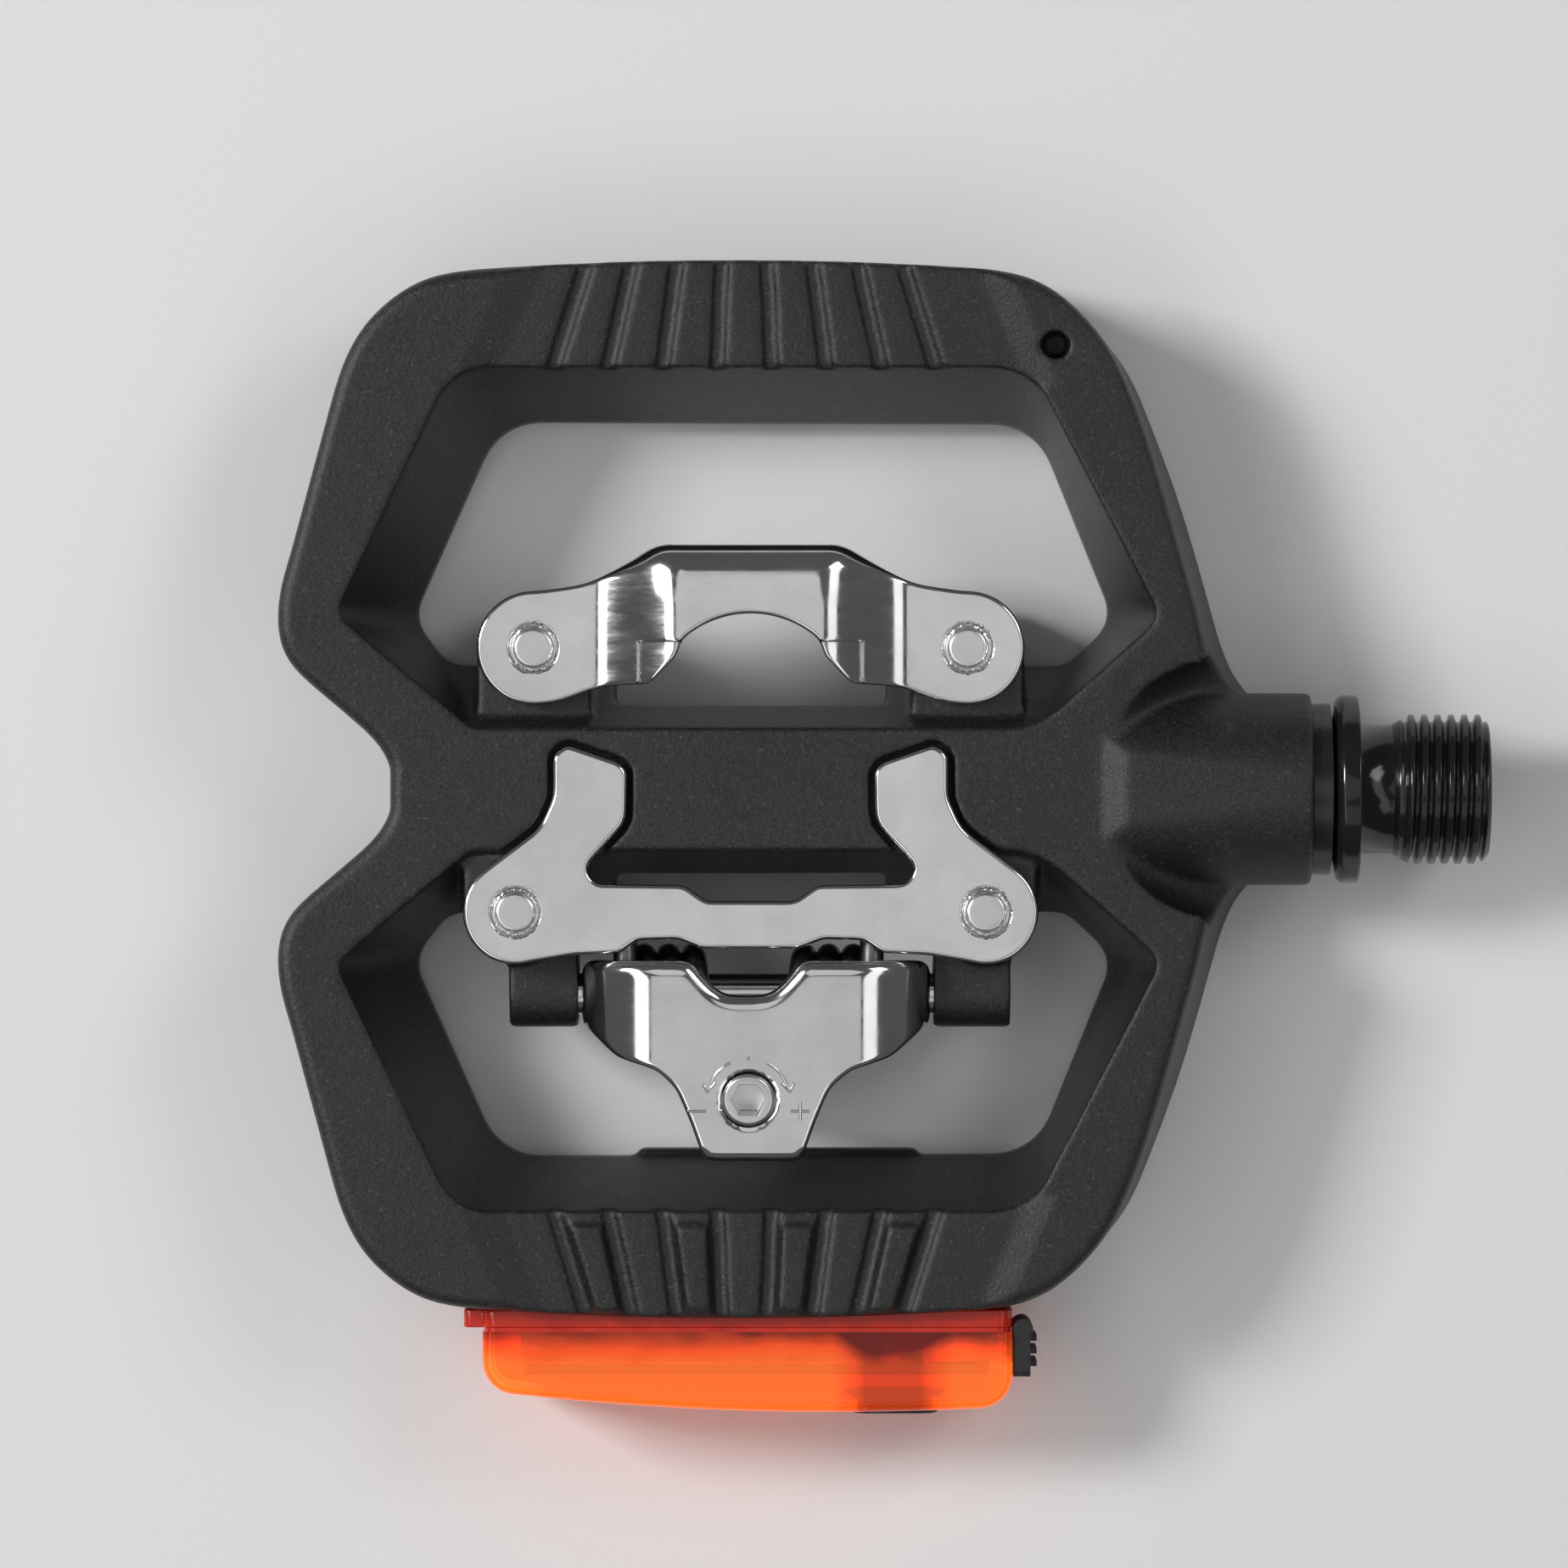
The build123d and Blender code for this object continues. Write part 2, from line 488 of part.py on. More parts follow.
with BuildPart() as needle_cage:
    add(tube(NEEDLE_X - NEEDLE_L / 2 - 0.35, NEEDLE_X + NEEDLE_L / 2 + 0.35, 5.05, 5.75))
    with BuildSketch(Plane.YZ.offset(NEEDLE_X - NEEDLE_L / 2 - 0.03)):
        with PolarLocations(NEEDLE_PITCH_R, NEEDLE_COUNT):
            Circle(NEEDLE_R + 0.05)
    extrude(amount=NEEDLE_L + 0.06, mode=Mode.SUBTRACT)
save(needle_cage.part, "needle_cage")

with BuildPart() as spacer:
    add(tube(BALL_X1, CUP_X0, 4.25, BORE_R - 0.05))
    add(tube(CUP_X0 - SPACER_FLANGE_T, CUP_X0, 4.25, CUP_BORE_R - 0.05))
save(spacer.part, "spacer_tube")

# retaining nut, its O-ring and the spindle's lip seal
NUT_FACE_X = -2.7
SEAL_R = 6.9
RING_X = -8.2
with BuildPart() as retaining_nut:
    add(tube(CUP_X1, BOSS_X, SEAL_R, MOUTH_R - 0.05))
    add(tube(BOSS_X, NUT_FACE_X, SEAL_R, 8.15))
    add(tube(CUP_X1, CUP_X1 + 1.0, SEAL_LAND_R + 0.3, SEAL_R))
    with BuildSketch(Plane.XY):
        with Locations((RING_X, 7.48)):
            Circle(0.44)
    revolve(axis=Axis.X, mode=Mode.SUBTRACT)
save(retaining_nut.part, "retaining_nut")

with BuildPart() as o_ring:
    with BuildSketch(Plane.XY):
        with Locations((RING_X, 7.48)):
            Circle(0.4)
    revolve(axis=Axis.X)
save(o_ring.part, "o_ring")

seal_points = [
    (CUP_X1 + 1.05, SEAL_R - 0.02), (CUP_X1 + 1.05, SEAL_LAND_R + 0.5), (-6.2, SEAL_LAND_R + 0.5),
    (-5.4, SEAL_LAND_R + 0.05), (-3.2, SEAL_LAND_R + 0.05), (-2.95, SEAL_LAND_R + 0.4), (-2.95, SEAL_R - 0.02),
]
save(turned(seal_points), "lip_seal")

# ================================================================ front claw
CLAW_HALF = (
    (0.0, 23.2), (7.6, 23.2), (10.6, 22.1), (13.6, 20.4), (15.4, 19.6), (19.0, 18.95),
)


def claw_outline():
    """The claw seen from the clip side: an arched bridge between two legs with rounded ends."""
    front = [(CLIP_X + x, y) for x, y in CLAW_HALF[1:]]
    front_left = [(2 * CLIP_X - x, y) for x, y in reversed(front)]
    with BuildLine() as loop:
        nose = Line(front_left[-1], front[0])
        right = Spline(nose @ 1, *front[1:], (CLIP_X + CLAW_RIVET_DX, CLAW_RIVET_Y + CLAW_END_R),
                       tangents=[(1, 0), (1, 0)])
        tip = CenterArc((CLIP_X + CLAW_RIVET_DX, CLAW_RIVET_Y), CLAW_END_R, -90, 180)
        leg = Spline((CLIP_X + CLAW_RIVET_DX, CLAW_RIVET_Y - CLAW_END_R), (CLIP_X + 14.5, 9.55), (CLIP_X + 9.5, 10.0),
                     tangents=[(-1, 0), (-1, 0.05)])
        knee = Line(leg @ 1, (CLIP_X + 7.0, 12.6))
        step = Line(knee @ 1, (CLIP_X + 6.5, 14.1))
        throat = ThreePointArc(step @ 1, (CLIP_X, 16.6), (CLIP_X - 6.5, 14.1))
        Line(throat @ 1, (CLIP_X - 7.0, 12.6))
        Line((CLIP_X - 7.0, 12.6), (CLIP_X - 9.5, 10.0))
        Spline((CLIP_X - 9.5, 10.0), (CLIP_X - 14.5, 9.55), (CLIP_X - CLAW_RIVET_DX, CLAW_RIVET_Y - CLAW_END_R),
               tangents=[(-1, -0.05), (-1, 0)])
        CenterArc((CLIP_X - CLAW_RIVET_DX, CLAW_RIVET_Y), CLAW_END_R, 90, 180)
        Spline((CLIP_X - CLAW_RIVET_DX, CLAW_RIVET_Y + CLAW_END_R), *front_left[:-1], nose @ 0,
               tangents=[(1, 0), (1, 0)])
    make_face(loop.edges())


RISER_OUT, RISER_IN = 15.3, 7.0


def claw_sheet():
    """The claw's sheet in front view: flat legs, a smooth rise on each side and a flat bridge."""
    low, high = LEG_Z, BRIDGE_Z - CLAW_T
    slack = 0.32 * CLAW_T                     # keeps the sheet's thickness about even along the rise
    with BuildLine() as loop:
        left = Line((CLIP_X - 30, low), (CLIP_X - RISER_OUT + slack, low))
        up = Spline(left @ 1, (CLIP_X - RISER_IN + slack, high), tangents=[(1, 0), (1, 0)])
        middle = Line(up @ 1, (CLIP_X + RISER_IN - slack, high))
        down = Spline(middle @ 1, (CLIP_X + RISER_OUT - slack, low), tangents=[(1, 0), (1, 0)])
        right = Line(down @ 1, (CLIP_X + 30, low))
        end = Line(right @ 1, (CLIP_X + 30, low + CLAW_T))
        top_right = Line(end @ 1, (CLIP_X + RISER_OUT, low + CLAW_T))
        top_down = Spline(top_right @ 1, (CLIP_X + RISER_IN, BRIDGE_Z), tangents=[(-1, 0), (-1, 0)])
        bridge = Line(top_down @ 1, (CLIP_X - RISER_IN, BRIDGE_Z))
        top_up = Spline(bridge @ 1, (CLIP_X - RISER_OUT, low + CLAW_T), tangents=[(-1, 0), (-1, 0)])
        top_left = Line(top_up @ 1, (CLIP_X - 30, low + CLAW_T))
        Line(top_left @ 1, left @ 0)
    make_face(loop.edges())


with BuildPart() as claw:
    with BuildSketch(Plane.XZ.offset(-30)):
        claw_sheet()
    extrude(amount=30)
    # the nose is bent down over the cleat's front
    with BuildSketch(Plane.XZ.offset(-CLAW_NOSE_Y)):
        with Locations((CLIP_X, (BRIDGE_Z + LEG_Z) / 2 + 0.4)):
            Rectangle(CLAW_NOSE_W, BRIDGE_Z - LEG_Z - 1.2)
    extrude(amount=CLAW_T)
    with BuildSketch(Plane.XY.offset(LEG_Z - 1)):
        claw_outline()
    extrude(amount=BRIDGE_Z - LEG_Z + 2, mode=Mode.INTERSECT)
    with BuildSketch(Plane.YZ.offset(CLIP_X - 12)):
        with Locations((CLAW_NOSE_Y, BRIDGE_Z)):
            Rectangle(2 * CLAW_NOSE_R, 2 * CLAW_NOSE_R)
        with Locations((CLAW_NOSE_Y - CLAW_NOSE_R, BRIDGE_Z - CLAW_NOSE_R)):
            Circle(CLAW_NOSE_R, mode=Mode.SUBTRACT)
    extrude(amount=24, mode=Mode.SUBTRACT)
    for side in SIDES:
        with Locations((CLIP_X + side * CLAW_RIVET_DX, CLAW_RIVET_Y, LEG_Z + CLAW_T)):
            Cylinder(RIVET_R, 20, mode=Mode.SUBTRACT)
            Cylinder(RIVET_RING_R, 2 * RIVET_RING_DEPTH, mode=Mode.SUBTRACT)
        # coined step at the inner corner of each leg
        with Locations((CLIP_X + side * COIN_DX, COIN_Y, BRIDGE_Z)):
            Box(COIN_W, COIN_L, 2 * COIN_DEPTH, mode=Mode.SUBTRACT)
save(claw.part, "front_claw")


def rivets(dx, y, top_z):
    """A pair of rivets: flush head in the sheet's ring, shank, and a wide head under the lug."""
    with BuildPart() as pair:
        with Locations(*[(CLIP_X + side * dx, y, SILL_Z) for side in SIDES]):
            Cylinder(RIVET_R - 0.02, top_z - SILL_Z, align=(Align.CENTER, Align.CENTER, Align.MIN))
            Cylinder(3.0, 0.9, align=(Align.CENTER, Align.CENTER, Align.MAX))
        fillet(pair.edges().group_by(Axis.Z)[0], 0.5)
        chamfer(pair.edges().group_by(Axis.Z)[-1], 0.2)
    return pair.part


save(rivets(CLAW_RIVET_DX, CLAW_RIVET_Y, LEG_Z + CLAW_T + RIVET_PROUD), "claw_rivets")
save(rivets(PLATE_RIVET_DX, PLATE_RIVET_Y, PLATE_Z + PLATE_T + RIVET_PROUD), "tread_plate_rivets")

# ================================================================ tread plate
with BuildPart() as tread:
    with BuildSketch(Plane.XY.offset(PLATE_Z)):
        tread_outline()
    extrude(amount=PLATE_T)
    fillet(tread.faces().sort_by(Axis.Z)[-1].edges(), 0.3)
    with Locations(*[(CLIP_X + side * PLATE_RIVET_DX, PLATE_RIVET_Y, PLATE_Z + PLATE_T) for side in SIDES]):
        Cylinder(RIVET_R, 20, mode=Mode.SUBTRACT)
        Cylinder(RIVET_RING_R, 2 * RIVET_RING_DEPTH, mode=Mode.SUBTRACT)
save(tread.part, "tread_plate")

# ================================================================ rear jaw
with BuildPart() as hinge_pin:
    with BuildSketch(Plane.YZ.offset(CLIP_X - PIN_HALF_L)):
        with Locations((PIN_Y, PIN_Z)):
            Circle(PIN_R - 0.02)
    extrude(amount=2 * PIN_HALF_L)
    chamfer(hinge_pin.edges().filter_by(GeomType.CIRCLE), 0.3)
save(hinge_pin.part, "hinge_pin")

FALL = math.atan(JAW_FALL)
JAW_AXIS = Vector(0, -math.sin(FALL), math.cos(FALL))     # across the sloping top, along the screw
JAW_BACK = Vector(0, -math.cos(FALL), -math.sin(FALL))    # down the slope towards the tail
JAW_LENGTH = (JAW_FRONT_Y - JAW_TAIL_Y) / math.cos(FALL)
# half the jaw's outline: distance from its own middle, y, and how far that middle lies from JAW_X
JAW_OUTLINE = (
    (0.0, -19.5, -0.9), (2.4, -19.5, -0.9), (5.3, -16.2, -0.9), (16.6, -16.2, 0.0), (16.6, -22.2, 0.0),
    (13.0, -25.4, -0.2), (9.2, -26.6, -0.2), (7.3, -28.3, -0.3), (5.9, -31.6, -0.3), (4.6, -35.3, -0.3),
)
JAW_ROUNDING = (0, 3.0, 1.5, 1.2, 1.5, 2.5, 2.0, 2.5, 6.0, 0.8)


def jaw_outline():
    """The jaw seen from the clip side: notched front edge, full width over the ears, narrow tail."""
    half = JAW_OUTLINE[1:]
    loop = [(JAW_X + shift + x, y) for x, y, shift in half]
    loop += [(JAW_X + shift - x, y) for x, y, shift in reversed(half)]
    rounded(loop, list(JAW_ROUNDING[1:]) + list(reversed(JAW_ROUNDING[1:])))


def jaw_section(inset, depth, lift=0.0):
    """The jaw's inverted U in front view, inset from the outer skin and lifted up the slope."""
    half_w, top = JAW_HALF_W - inset, JAW_TOP_Z - inset + lift
    corners = [(-half_w, depth), (-half_w, top), (half_w, top), (half_w, depth)]
    rounded([(JAW_X + x, z) for x, z in corners], [0, JAW_BEND_R - inset, JAW_BEND_R - inset, 0])


def jaw_side():
    """The jaw in side view: ears round the hinge pin, rising to the hooked front and the sloping tail."""
    corners = [
        (JAW_FRONT_Y, JAW_TOP_Z + 3), (JAW_FRONT_Y, PIN_Z - 3.3), (PIN_Y - 3.3, PIN_Z - 3.3),
        (PIN_Y - 5.4, 1.6), (JAW_TAIL_Y, 3.4), (JAW_TAIL_Y, JAW_TOP_Z + 3),
    ]
    rounded(corners, [0, 3.0, 2.0, 2.5, 0, 0])


SCREW_TOP = Vector(SCREW_X, SCREW_Y, JAW_TOP_Z - JAW_FALL * (JAW_FRONT_Y - SCREW_Y))
screw_plane = Plane(origin=SCREW_TOP, x_dir=(1, 0, 0), z_dir=JAW_AXIS)
with BuildPart() as screw_bore:
    with BuildSketch(screw_plane.offset(3)):
        Circle(SCREW_HOLE_R)
    extrude(amount=-10)
screw_hole = screw_bore.part

MARK_R, MARK_W, MARK_DEPTH = 3.8, 0.36, 0.14
SIGN_X, SIGN_Y, SIGN_L = 4.7, -1.2, 2.0


def jaw_marks():
    """Turning arrows above the tension screw, with a minus on the left and a plus on the right."""
    for start in (16, 118):
        with BuildLine() as arc:
            CenterArc((0, 0), MARK_R, start, 46)
        trace(arc.edges(), line_width=MARK_W)
    for side in SIDES:
        tip = Vector(side * MARK_R, 0.5)
        with BuildLine() as head:
            Polyline(tip, tip + Vector(-0.5 * side, 0.9), tip + Vector(0.6 * side, 0.8), close=True)
        make_face(head.edges())
        with Locations((side * SIGN_X, SIGN_Y)):
            Rectangle(SIGN_L, MARK_W)
    with Locations((SIGN_X, SIGN_Y)):
        Rectangle(MARK_W, SIGN_L)
    with Locations((0, MARK_R)):
        Circle(MARK_W)


with BuildPart() as jaw:
    with BuildSketch(Plane.XZ.offset(-JAW_FRONT_Y)):
        jaw_section(0, -8)
    extrude(amount=JAW_LENGTH, dir=JAW_BACK)
    with BuildSketch(Plane.XZ.offset(-JAW_FRONT_Y - 1.0)):
        jaw_section(JAW_T, -20, JAW_FALL)
    extrude(amount=JAW_LENGTH + 2, dir=JAW_BACK, mode=Mode.SUBTRACT)
    with BuildSketch(Plane.XY.offset(-8)):
        jaw_outline()
    extrude(amount=30, mode=Mode.INTERSECT)
    with BuildSketch(Plane.YZ.offset(JAW_X - 20)):
        jaw_side()
    extrude(amount=40, mode=Mode.INTERSECT)
    with Locations(Location((CLIP_X, PIN_Y, PIN_Z), (0, 90, 0))):
        Cylinder(PIN_R + 0.03, 50, mode=Mode.SUBTRACT)
    add(screw_hole, mode=Mode.SUBTRACT)
    # arrows, minus and plus pressed in around the screw
    with BuildSketch(screw_plane.offset(0.05)):
        jaw_marks()
    extrude(amount=-(0.05 + MARK_DEPTH), mode=Mode.SUBTRACT)
save(jaw.part, "rear_jaw")

# ================================================================ tension screw, nut and spring
with BuildPart() as tension_screw:
    with BuildSketch(screw_plane.offset(0.35)):
        Circle(SCREW_R)
    extrude(amount=-(JAW_T + 0.5))
    chamfer(tension_screw.faces().sort_by(Axis.Z)[-1].edges(), 0.25)
    with BuildSketch(screw_plane.offset(-JAW_T - 0.06)):
        Circle(SCREW_FLANGE_R)
    extrude(amount=-1.0)
    with BuildSketch(screw_plane.offset(-JAW_T - 1.0)):
        Circle(SCREW_THREAD_R)
    extrude(amount=-(SCREW_L - JAW_T - 1.0))
    chamfer(tension_screw.faces().sort_by(Axis.Z)[0].edges(), 0.4)
    with BuildSketch(screw_plane.offset(0.35)):
        RegularPolygon(1.5, 6, major_radius=False)
    extrude(amount=-2.2, mode=Mode.SUBTRACT)
save(tension_screw.part, "tension_screw")

with BuildPart() as tension_nut:
    with BuildSketch(screw_plane.offset(-NUT_DROP)):
        RectangleRounded(NUT_W, NUT_D, 0.8)
        Circle(SCREW_THREAD_R + 0.03, mode=Mode.SUBTRACT)
    extrude(amount=-NUT_T)
save(tension_nut.part, "tension_nut")

COIL_LENGTH = COIL_OUT - COIL_IN
COIL_SWEEP = COIL_TURNS + COIL_LEAVE / 360
LEAVE = math.radians(COIL_LEAVE)
BRIDGE_DROP = NUT_DROP + NUT_T + 0.05 + WIRE_R
coil_plane = Plane(origin=(SCREW_X - COIL_OUT, PIN_Y, PIN_Z), x_dir=(0, 0, 1), z_dir=(1, 0, 0))
leave_point = Vector(SCREW_X - COIL_IN, PIN_Y - COIL_R * math.sin(LEAVE), PIN_Z + COIL_R * math.cos(LEAVE))
leave_dir = Vector(0, -math.cos(LEAVE), -math.sin(LEAVE))
leave_drop = BRIDGE_DROP + (leave_point - SCREW_TOP).dot(JAW_AXIS)
elbow = leave_point + leave_dir * (leave_drop / -leave_dir.dot(JAW_AXIS))
tail_point = SCREW_TOP - JAW_AXIS * BRIDGE_DROP + JAW_BACK * SPRING_TAIL
tail_corner = Vector(SCREW_X - COIL_IN, tail_point.Y, tail_point.Z)
front_tip = Vector(SCREW_X - COIL_OUT, SPRING_FRONT_Y, PIN_Z + COIL_R)


def wire_rod(start, end):
    """A straight stretch of the spring's wire."""
    with BuildPart() as rod:
        with BuildSketch(Plane(origin=start, z_dir=end - start)):
            Circle(WIRE_R)
        extrude(amount=(end - start).length)
    return rod.part


def wire_elbow(start, corner, end, radius):
    """Wire from start to end, turning at the corner on the given radius."""
    with BuildPart() as bent:
        with BuildLine() as path:
            first = Line(start, corner + (start - corner).normalized() * radius)
            last = Line(corner + (end - corner).normalized() * radius, end)
            TangentArc(first @ 1, last @ 0, tangent=first % 1)
        with BuildSketch(Plane(origin=start, z_dir=corner - start)):
            Circle(WIRE_R)
        sweep(path=path.wire())
    return bent.part


# a helix is drawn about its own Z, then laid along the hinge pin
coil = coil_plane.location * Helix(COIL_LENGTH / COIL_SWEEP, COIL_LENGTH, COIL_R)

with BuildPart() as half_spring:
    with BuildSketch(Plane(origin=coil @ 0, z_dir=coil % 0)):
        Circle(WIRE_R)
    sweep(path=coil, is_frenet=True)
    add(wire_rod(front_tip, Vector(SCREW_X - COIL_OUT, PIN_Y, PIN_Z + COIL_R)))
    with Locations(leave_point, Vector(SCREW_X - COIL_OUT, PIN_Y, PIN_Z + COIL_R)):
        Sphere(WIRE_R)
    add(wire_elbow(leave_point, elbow, (elbow + tail_corner) / 2, 1.6))
    add(wire_elbow((elbow + tail_corner) / 2, tail_corner, tail_point, 2.0))
with BuildPart() as spring:
    add(half_spring.part)
    add(half_spring.part.mirror(Plane.YZ.offset(SCREW_X)))
save(spring.part, "torsion_spring")


# ================================================================ rear light
def lens_plan(sketch, inset):
    """Draws the light seen from the clip side: square at the platform, bowed and rounded at the back."""
    x0, x1 = LIGHT_X0 + inset, LIGHT_X1 - inset
    with BuildLine() as loop:
        back = ThreePointArc((x0, LENS_OUT_Y + inset), (LIGHT_MID_X, LENS_MID_Y + inset), (x1, LENS_IN_Y + inset))
        Polyline(back @ 1, (x1, LIGHT_SPLIT_Y), (x0, LIGHT_SPLIT_Y), back @ 0)
    make_face(loop.edges())
    fillet(sketch.vertices().sort_by(Axis.Y)[:2], LENS_CORNER_R - inset)


with BuildPart() as lens:
    with BuildSketch(Plane.XY.offset(LIGHT_Z0)) as outside:
        lens_plan(outside, 0)
    extrude(amount=LIGHT_H)
    rims = lens.edges().group_by(Axis.Z)
    fillet([e for e in rims[0] + rims[-1] if e.center().Y < LIGHT_SPLIT_Y - 0.1], 1.0)
    with BuildSketch(Plane.XY.offset(LIGHT_Z0 + LENS_T)) as inside:
        lens_plan(inside, LENS_T)
    extrude(amount=LIGHT_H - 2 * LENS_T, mode=Mode.SUBTRACT)
    with BuildSketch(Plane.XZ.offset(55)):
        with Locations((BUTTON_X, LIGHT_MID_Z)):
            RectangleRounded(BUTTON_W + 0.5, BUTTON_H + 0.5, 2.25)
    extrude(amount=6, mode=Mode.SUBTRACT)
    with BuildSketch(Plane.YZ.offset(LIGHT_X1 - 3)):
        with Locations((PORT_Y, LIGHT_MID_Z)):
            RectangleRounded(PORT_D + 0.4, PORT_H + 0.2, 1.3)
    extrude(amount=4, mode=Mode.SUBTRACT)
save(lens.part, "light_lens")

GASKET_T = 0.4
COVER_Y = LIGHT_SEAT_Y - 0.05
with BuildPart() as cover:
    with BuildSketch(Plane.XZ.offset(-COVER_Y)):
        with Locations((LIGHT_MID_X, LIGHT_MID_Z)):
            RectangleRounded(LIGHT_W, LIGHT_H, 1.4)
        with Locations(((FLANGE_X + LIGHT_X0) / 2 + 1, LIGHT_MID_Z)):
            RectangleRounded(LIGHT_X0 - FLANGE_X + 2, LIGHT_H - 2, 0.8)
    extrude(amount=COVER_Y - LIGHT_SPLIT_Y - GASKET_T)
    with BuildSketch(Plane.XZ.offset(-COVER_Y + 1.2)):
        with Locations((LIGHT_MID_X, LIGHT_MID_Z)):
            RectangleRounded(LIGHT_W - 3, LIGHT_H - 3, 0.8)
    extrude(amount=3, mode=Mode.SUBTRACT)
    # clip hooks, each with a barb at its tip
    for x in CLIP_HOOKS_X:
        with BuildSketch(Plane.YZ.offset(x - 2.5)):
            with BuildLine():
                Polyline(
                    (COVER_Y, LIGHT_MID_Z - 0.6), (COVER_Y + 4.6, LIGHT_MID_Z - 0.6), (COVER_Y + 4.6, LIGHT_MID_Z + 0.7),
                    (COVER_Y + 3.4, LIGHT_MID_Z + 1.4), (COVER_Y + 3.0, LIGHT_MID_Z + 0.6), (COVER_Y, LIGHT_MID_Z + 0.6),
                    close=True,
                )
            make_face()
        extrude(amount=5.0)
save(cover.part, "light_back_cover")

with BuildPart() as gasket:
    with BuildSketch(Plane.XZ.offset(-LIGHT_SPLIT_Y - GASKET_T)):
        with Locations((LIGHT_MID_X, LIGHT_MID_Z)):
            RectangleRounded(LIGHT_W - 0.3, LIGHT_H - 0.3, 1.2)
            RectangleRounded(LIGHT_W - 2.2, LIGHT_H - 2.2, 0.6, mode=Mode.SUBTRACT)
    extrude(amount=GASKET_T)
save(gasket.part, "light_gasket")

BOARD_X0, BOARD_X1, BOARD_H = -79.5, -35.2, 8.0
LED_X, LED_W, LED_H, LED_T = (-74.5, -66.5, -58.5, -50.9), 3.4, 3.0, 0.6
with BuildPart() as board:
    with BuildSketch(Plane.XZ.offset(-BOARD_Y)):
        with Locations(((BOARD_X0 + BOARD_X1) / 2, LIGHT_MID_Z)):
            RectangleRounded(BOARD_X1 - BOARD_X0, BOARD_H, 0.8)
        with Locations((BOARD_X0 + 1.8, LIGHT_MID_Z + 2.4)):
            Circle(0.6, mode=Mode.SUBTRACT)
    extrude(amount=BOARD_T)
    # driver chip and two passives on the battery's side of the board
    with BuildSketch(Plane.XZ.offset(-BOARD_Y)):
        with Locations((-42.6, LIGHT_MID_Z)):
            Rectangle(2.2, 3.0)
    extrude(amount=-0.9)
save(board.part, "circuit_board")

with BuildPart() as leds:
    for x in LED_X:
        with BuildSketch(Plane.XZ.offset(-BOARD_Y + BOARD_T)):
            with Locations((x, LIGHT_MID_Z)):
                Rectangle(LED_W, LED_H)
        extrude(amount=LED_T)
save(leds.part, "leds")

with BuildPart() as tact_switch:
    with BuildSketch(Plane.XZ.offset(-BOARD_Y + BOARD_T)):
        with Locations((BUTTON_X, LIGHT_MID_Z)):
            RectangleRounded(4.4, 4.4, 0.4)
    extrude(amount=0.7)
    with BuildSketch(Plane.XZ.offset(-BOARD_Y + BOARD_T + 0.7)):
        with Locations((BUTTON_X, LIGHT_MID_Z)):
            Circle(1.1)
    extrude(amount=0.3)
save(tact_switch.part, "tact_switch")

LENS_INNER_Y = LENS_MID_Y + LENS_T
with BuildPart() as button:
    with BuildSketch(Plane.XZ.offset(-BUTTON_FACE_Y)):
        with Locations((BUTTON_X, LIGHT_MID_Z)):
            RectangleRounded(BUTTON_W, BUTTON_H, 2.0)
    extrude(amount=BUTTON_FACE_Y - LENS_INNER_Y - 0.35)
    fillet(button.faces().sort_by(Axis.Y)[0].edges(), 0.5)
    with BuildSketch(Plane.XZ.offset(-LENS_INNER_Y - 0.22)):
        with Locations((BUTTON_X, LIGHT_MID_Z)):
            RectangleRounded(BUTTON_W + 1.2, BUTTON_H + 1.2, 2.2)
    extrude(amount=-0.4)
save(button.part, "power_button")

BATTERY_X0, BATTERY_X1 = -79.8, -45.4
with BuildPart() as battery:
    with BuildSketch(Plane.XZ.offset(50.8)):
        with Locations(((BATTERY_X0 + BATTERY_X1) / 2, LIGHT_MID_Z)):
            RectangleRounded(BATTERY_X1 - BATTERY_X0, 7.0, 1.0)
    extrude(amount=3.7)
    fillet(battery.edges().filter_by(Axis.X), 0.8)
save(battery.part, "battery")

USB_X0, USB_X1 = -41.0, -34.4
with BuildPart() as usb_socket:
    with BuildSketch(Plane.YZ.offset(USB_X0)):
        with Locations((PORT_Y, LIGHT_MID_Z)):
            RectangleRounded(3.0, 8.4, 1.2)
    extrude(amount=USB_X1 - USB_X0)
    with BuildSketch(Plane.YZ.offset(USB_X1)):
        with Locations((PORT_Y, LIGHT_MID_Z)):
            RectangleRounded(2.4, 7.8, 0.9)
            Rectangle(0.7, 6.2, mode=Mode.SUBTRACT)
    extrude(amount=-5.2, mode=Mode.SUBTRACT)
save(usb_socket.part, "usb_socket")

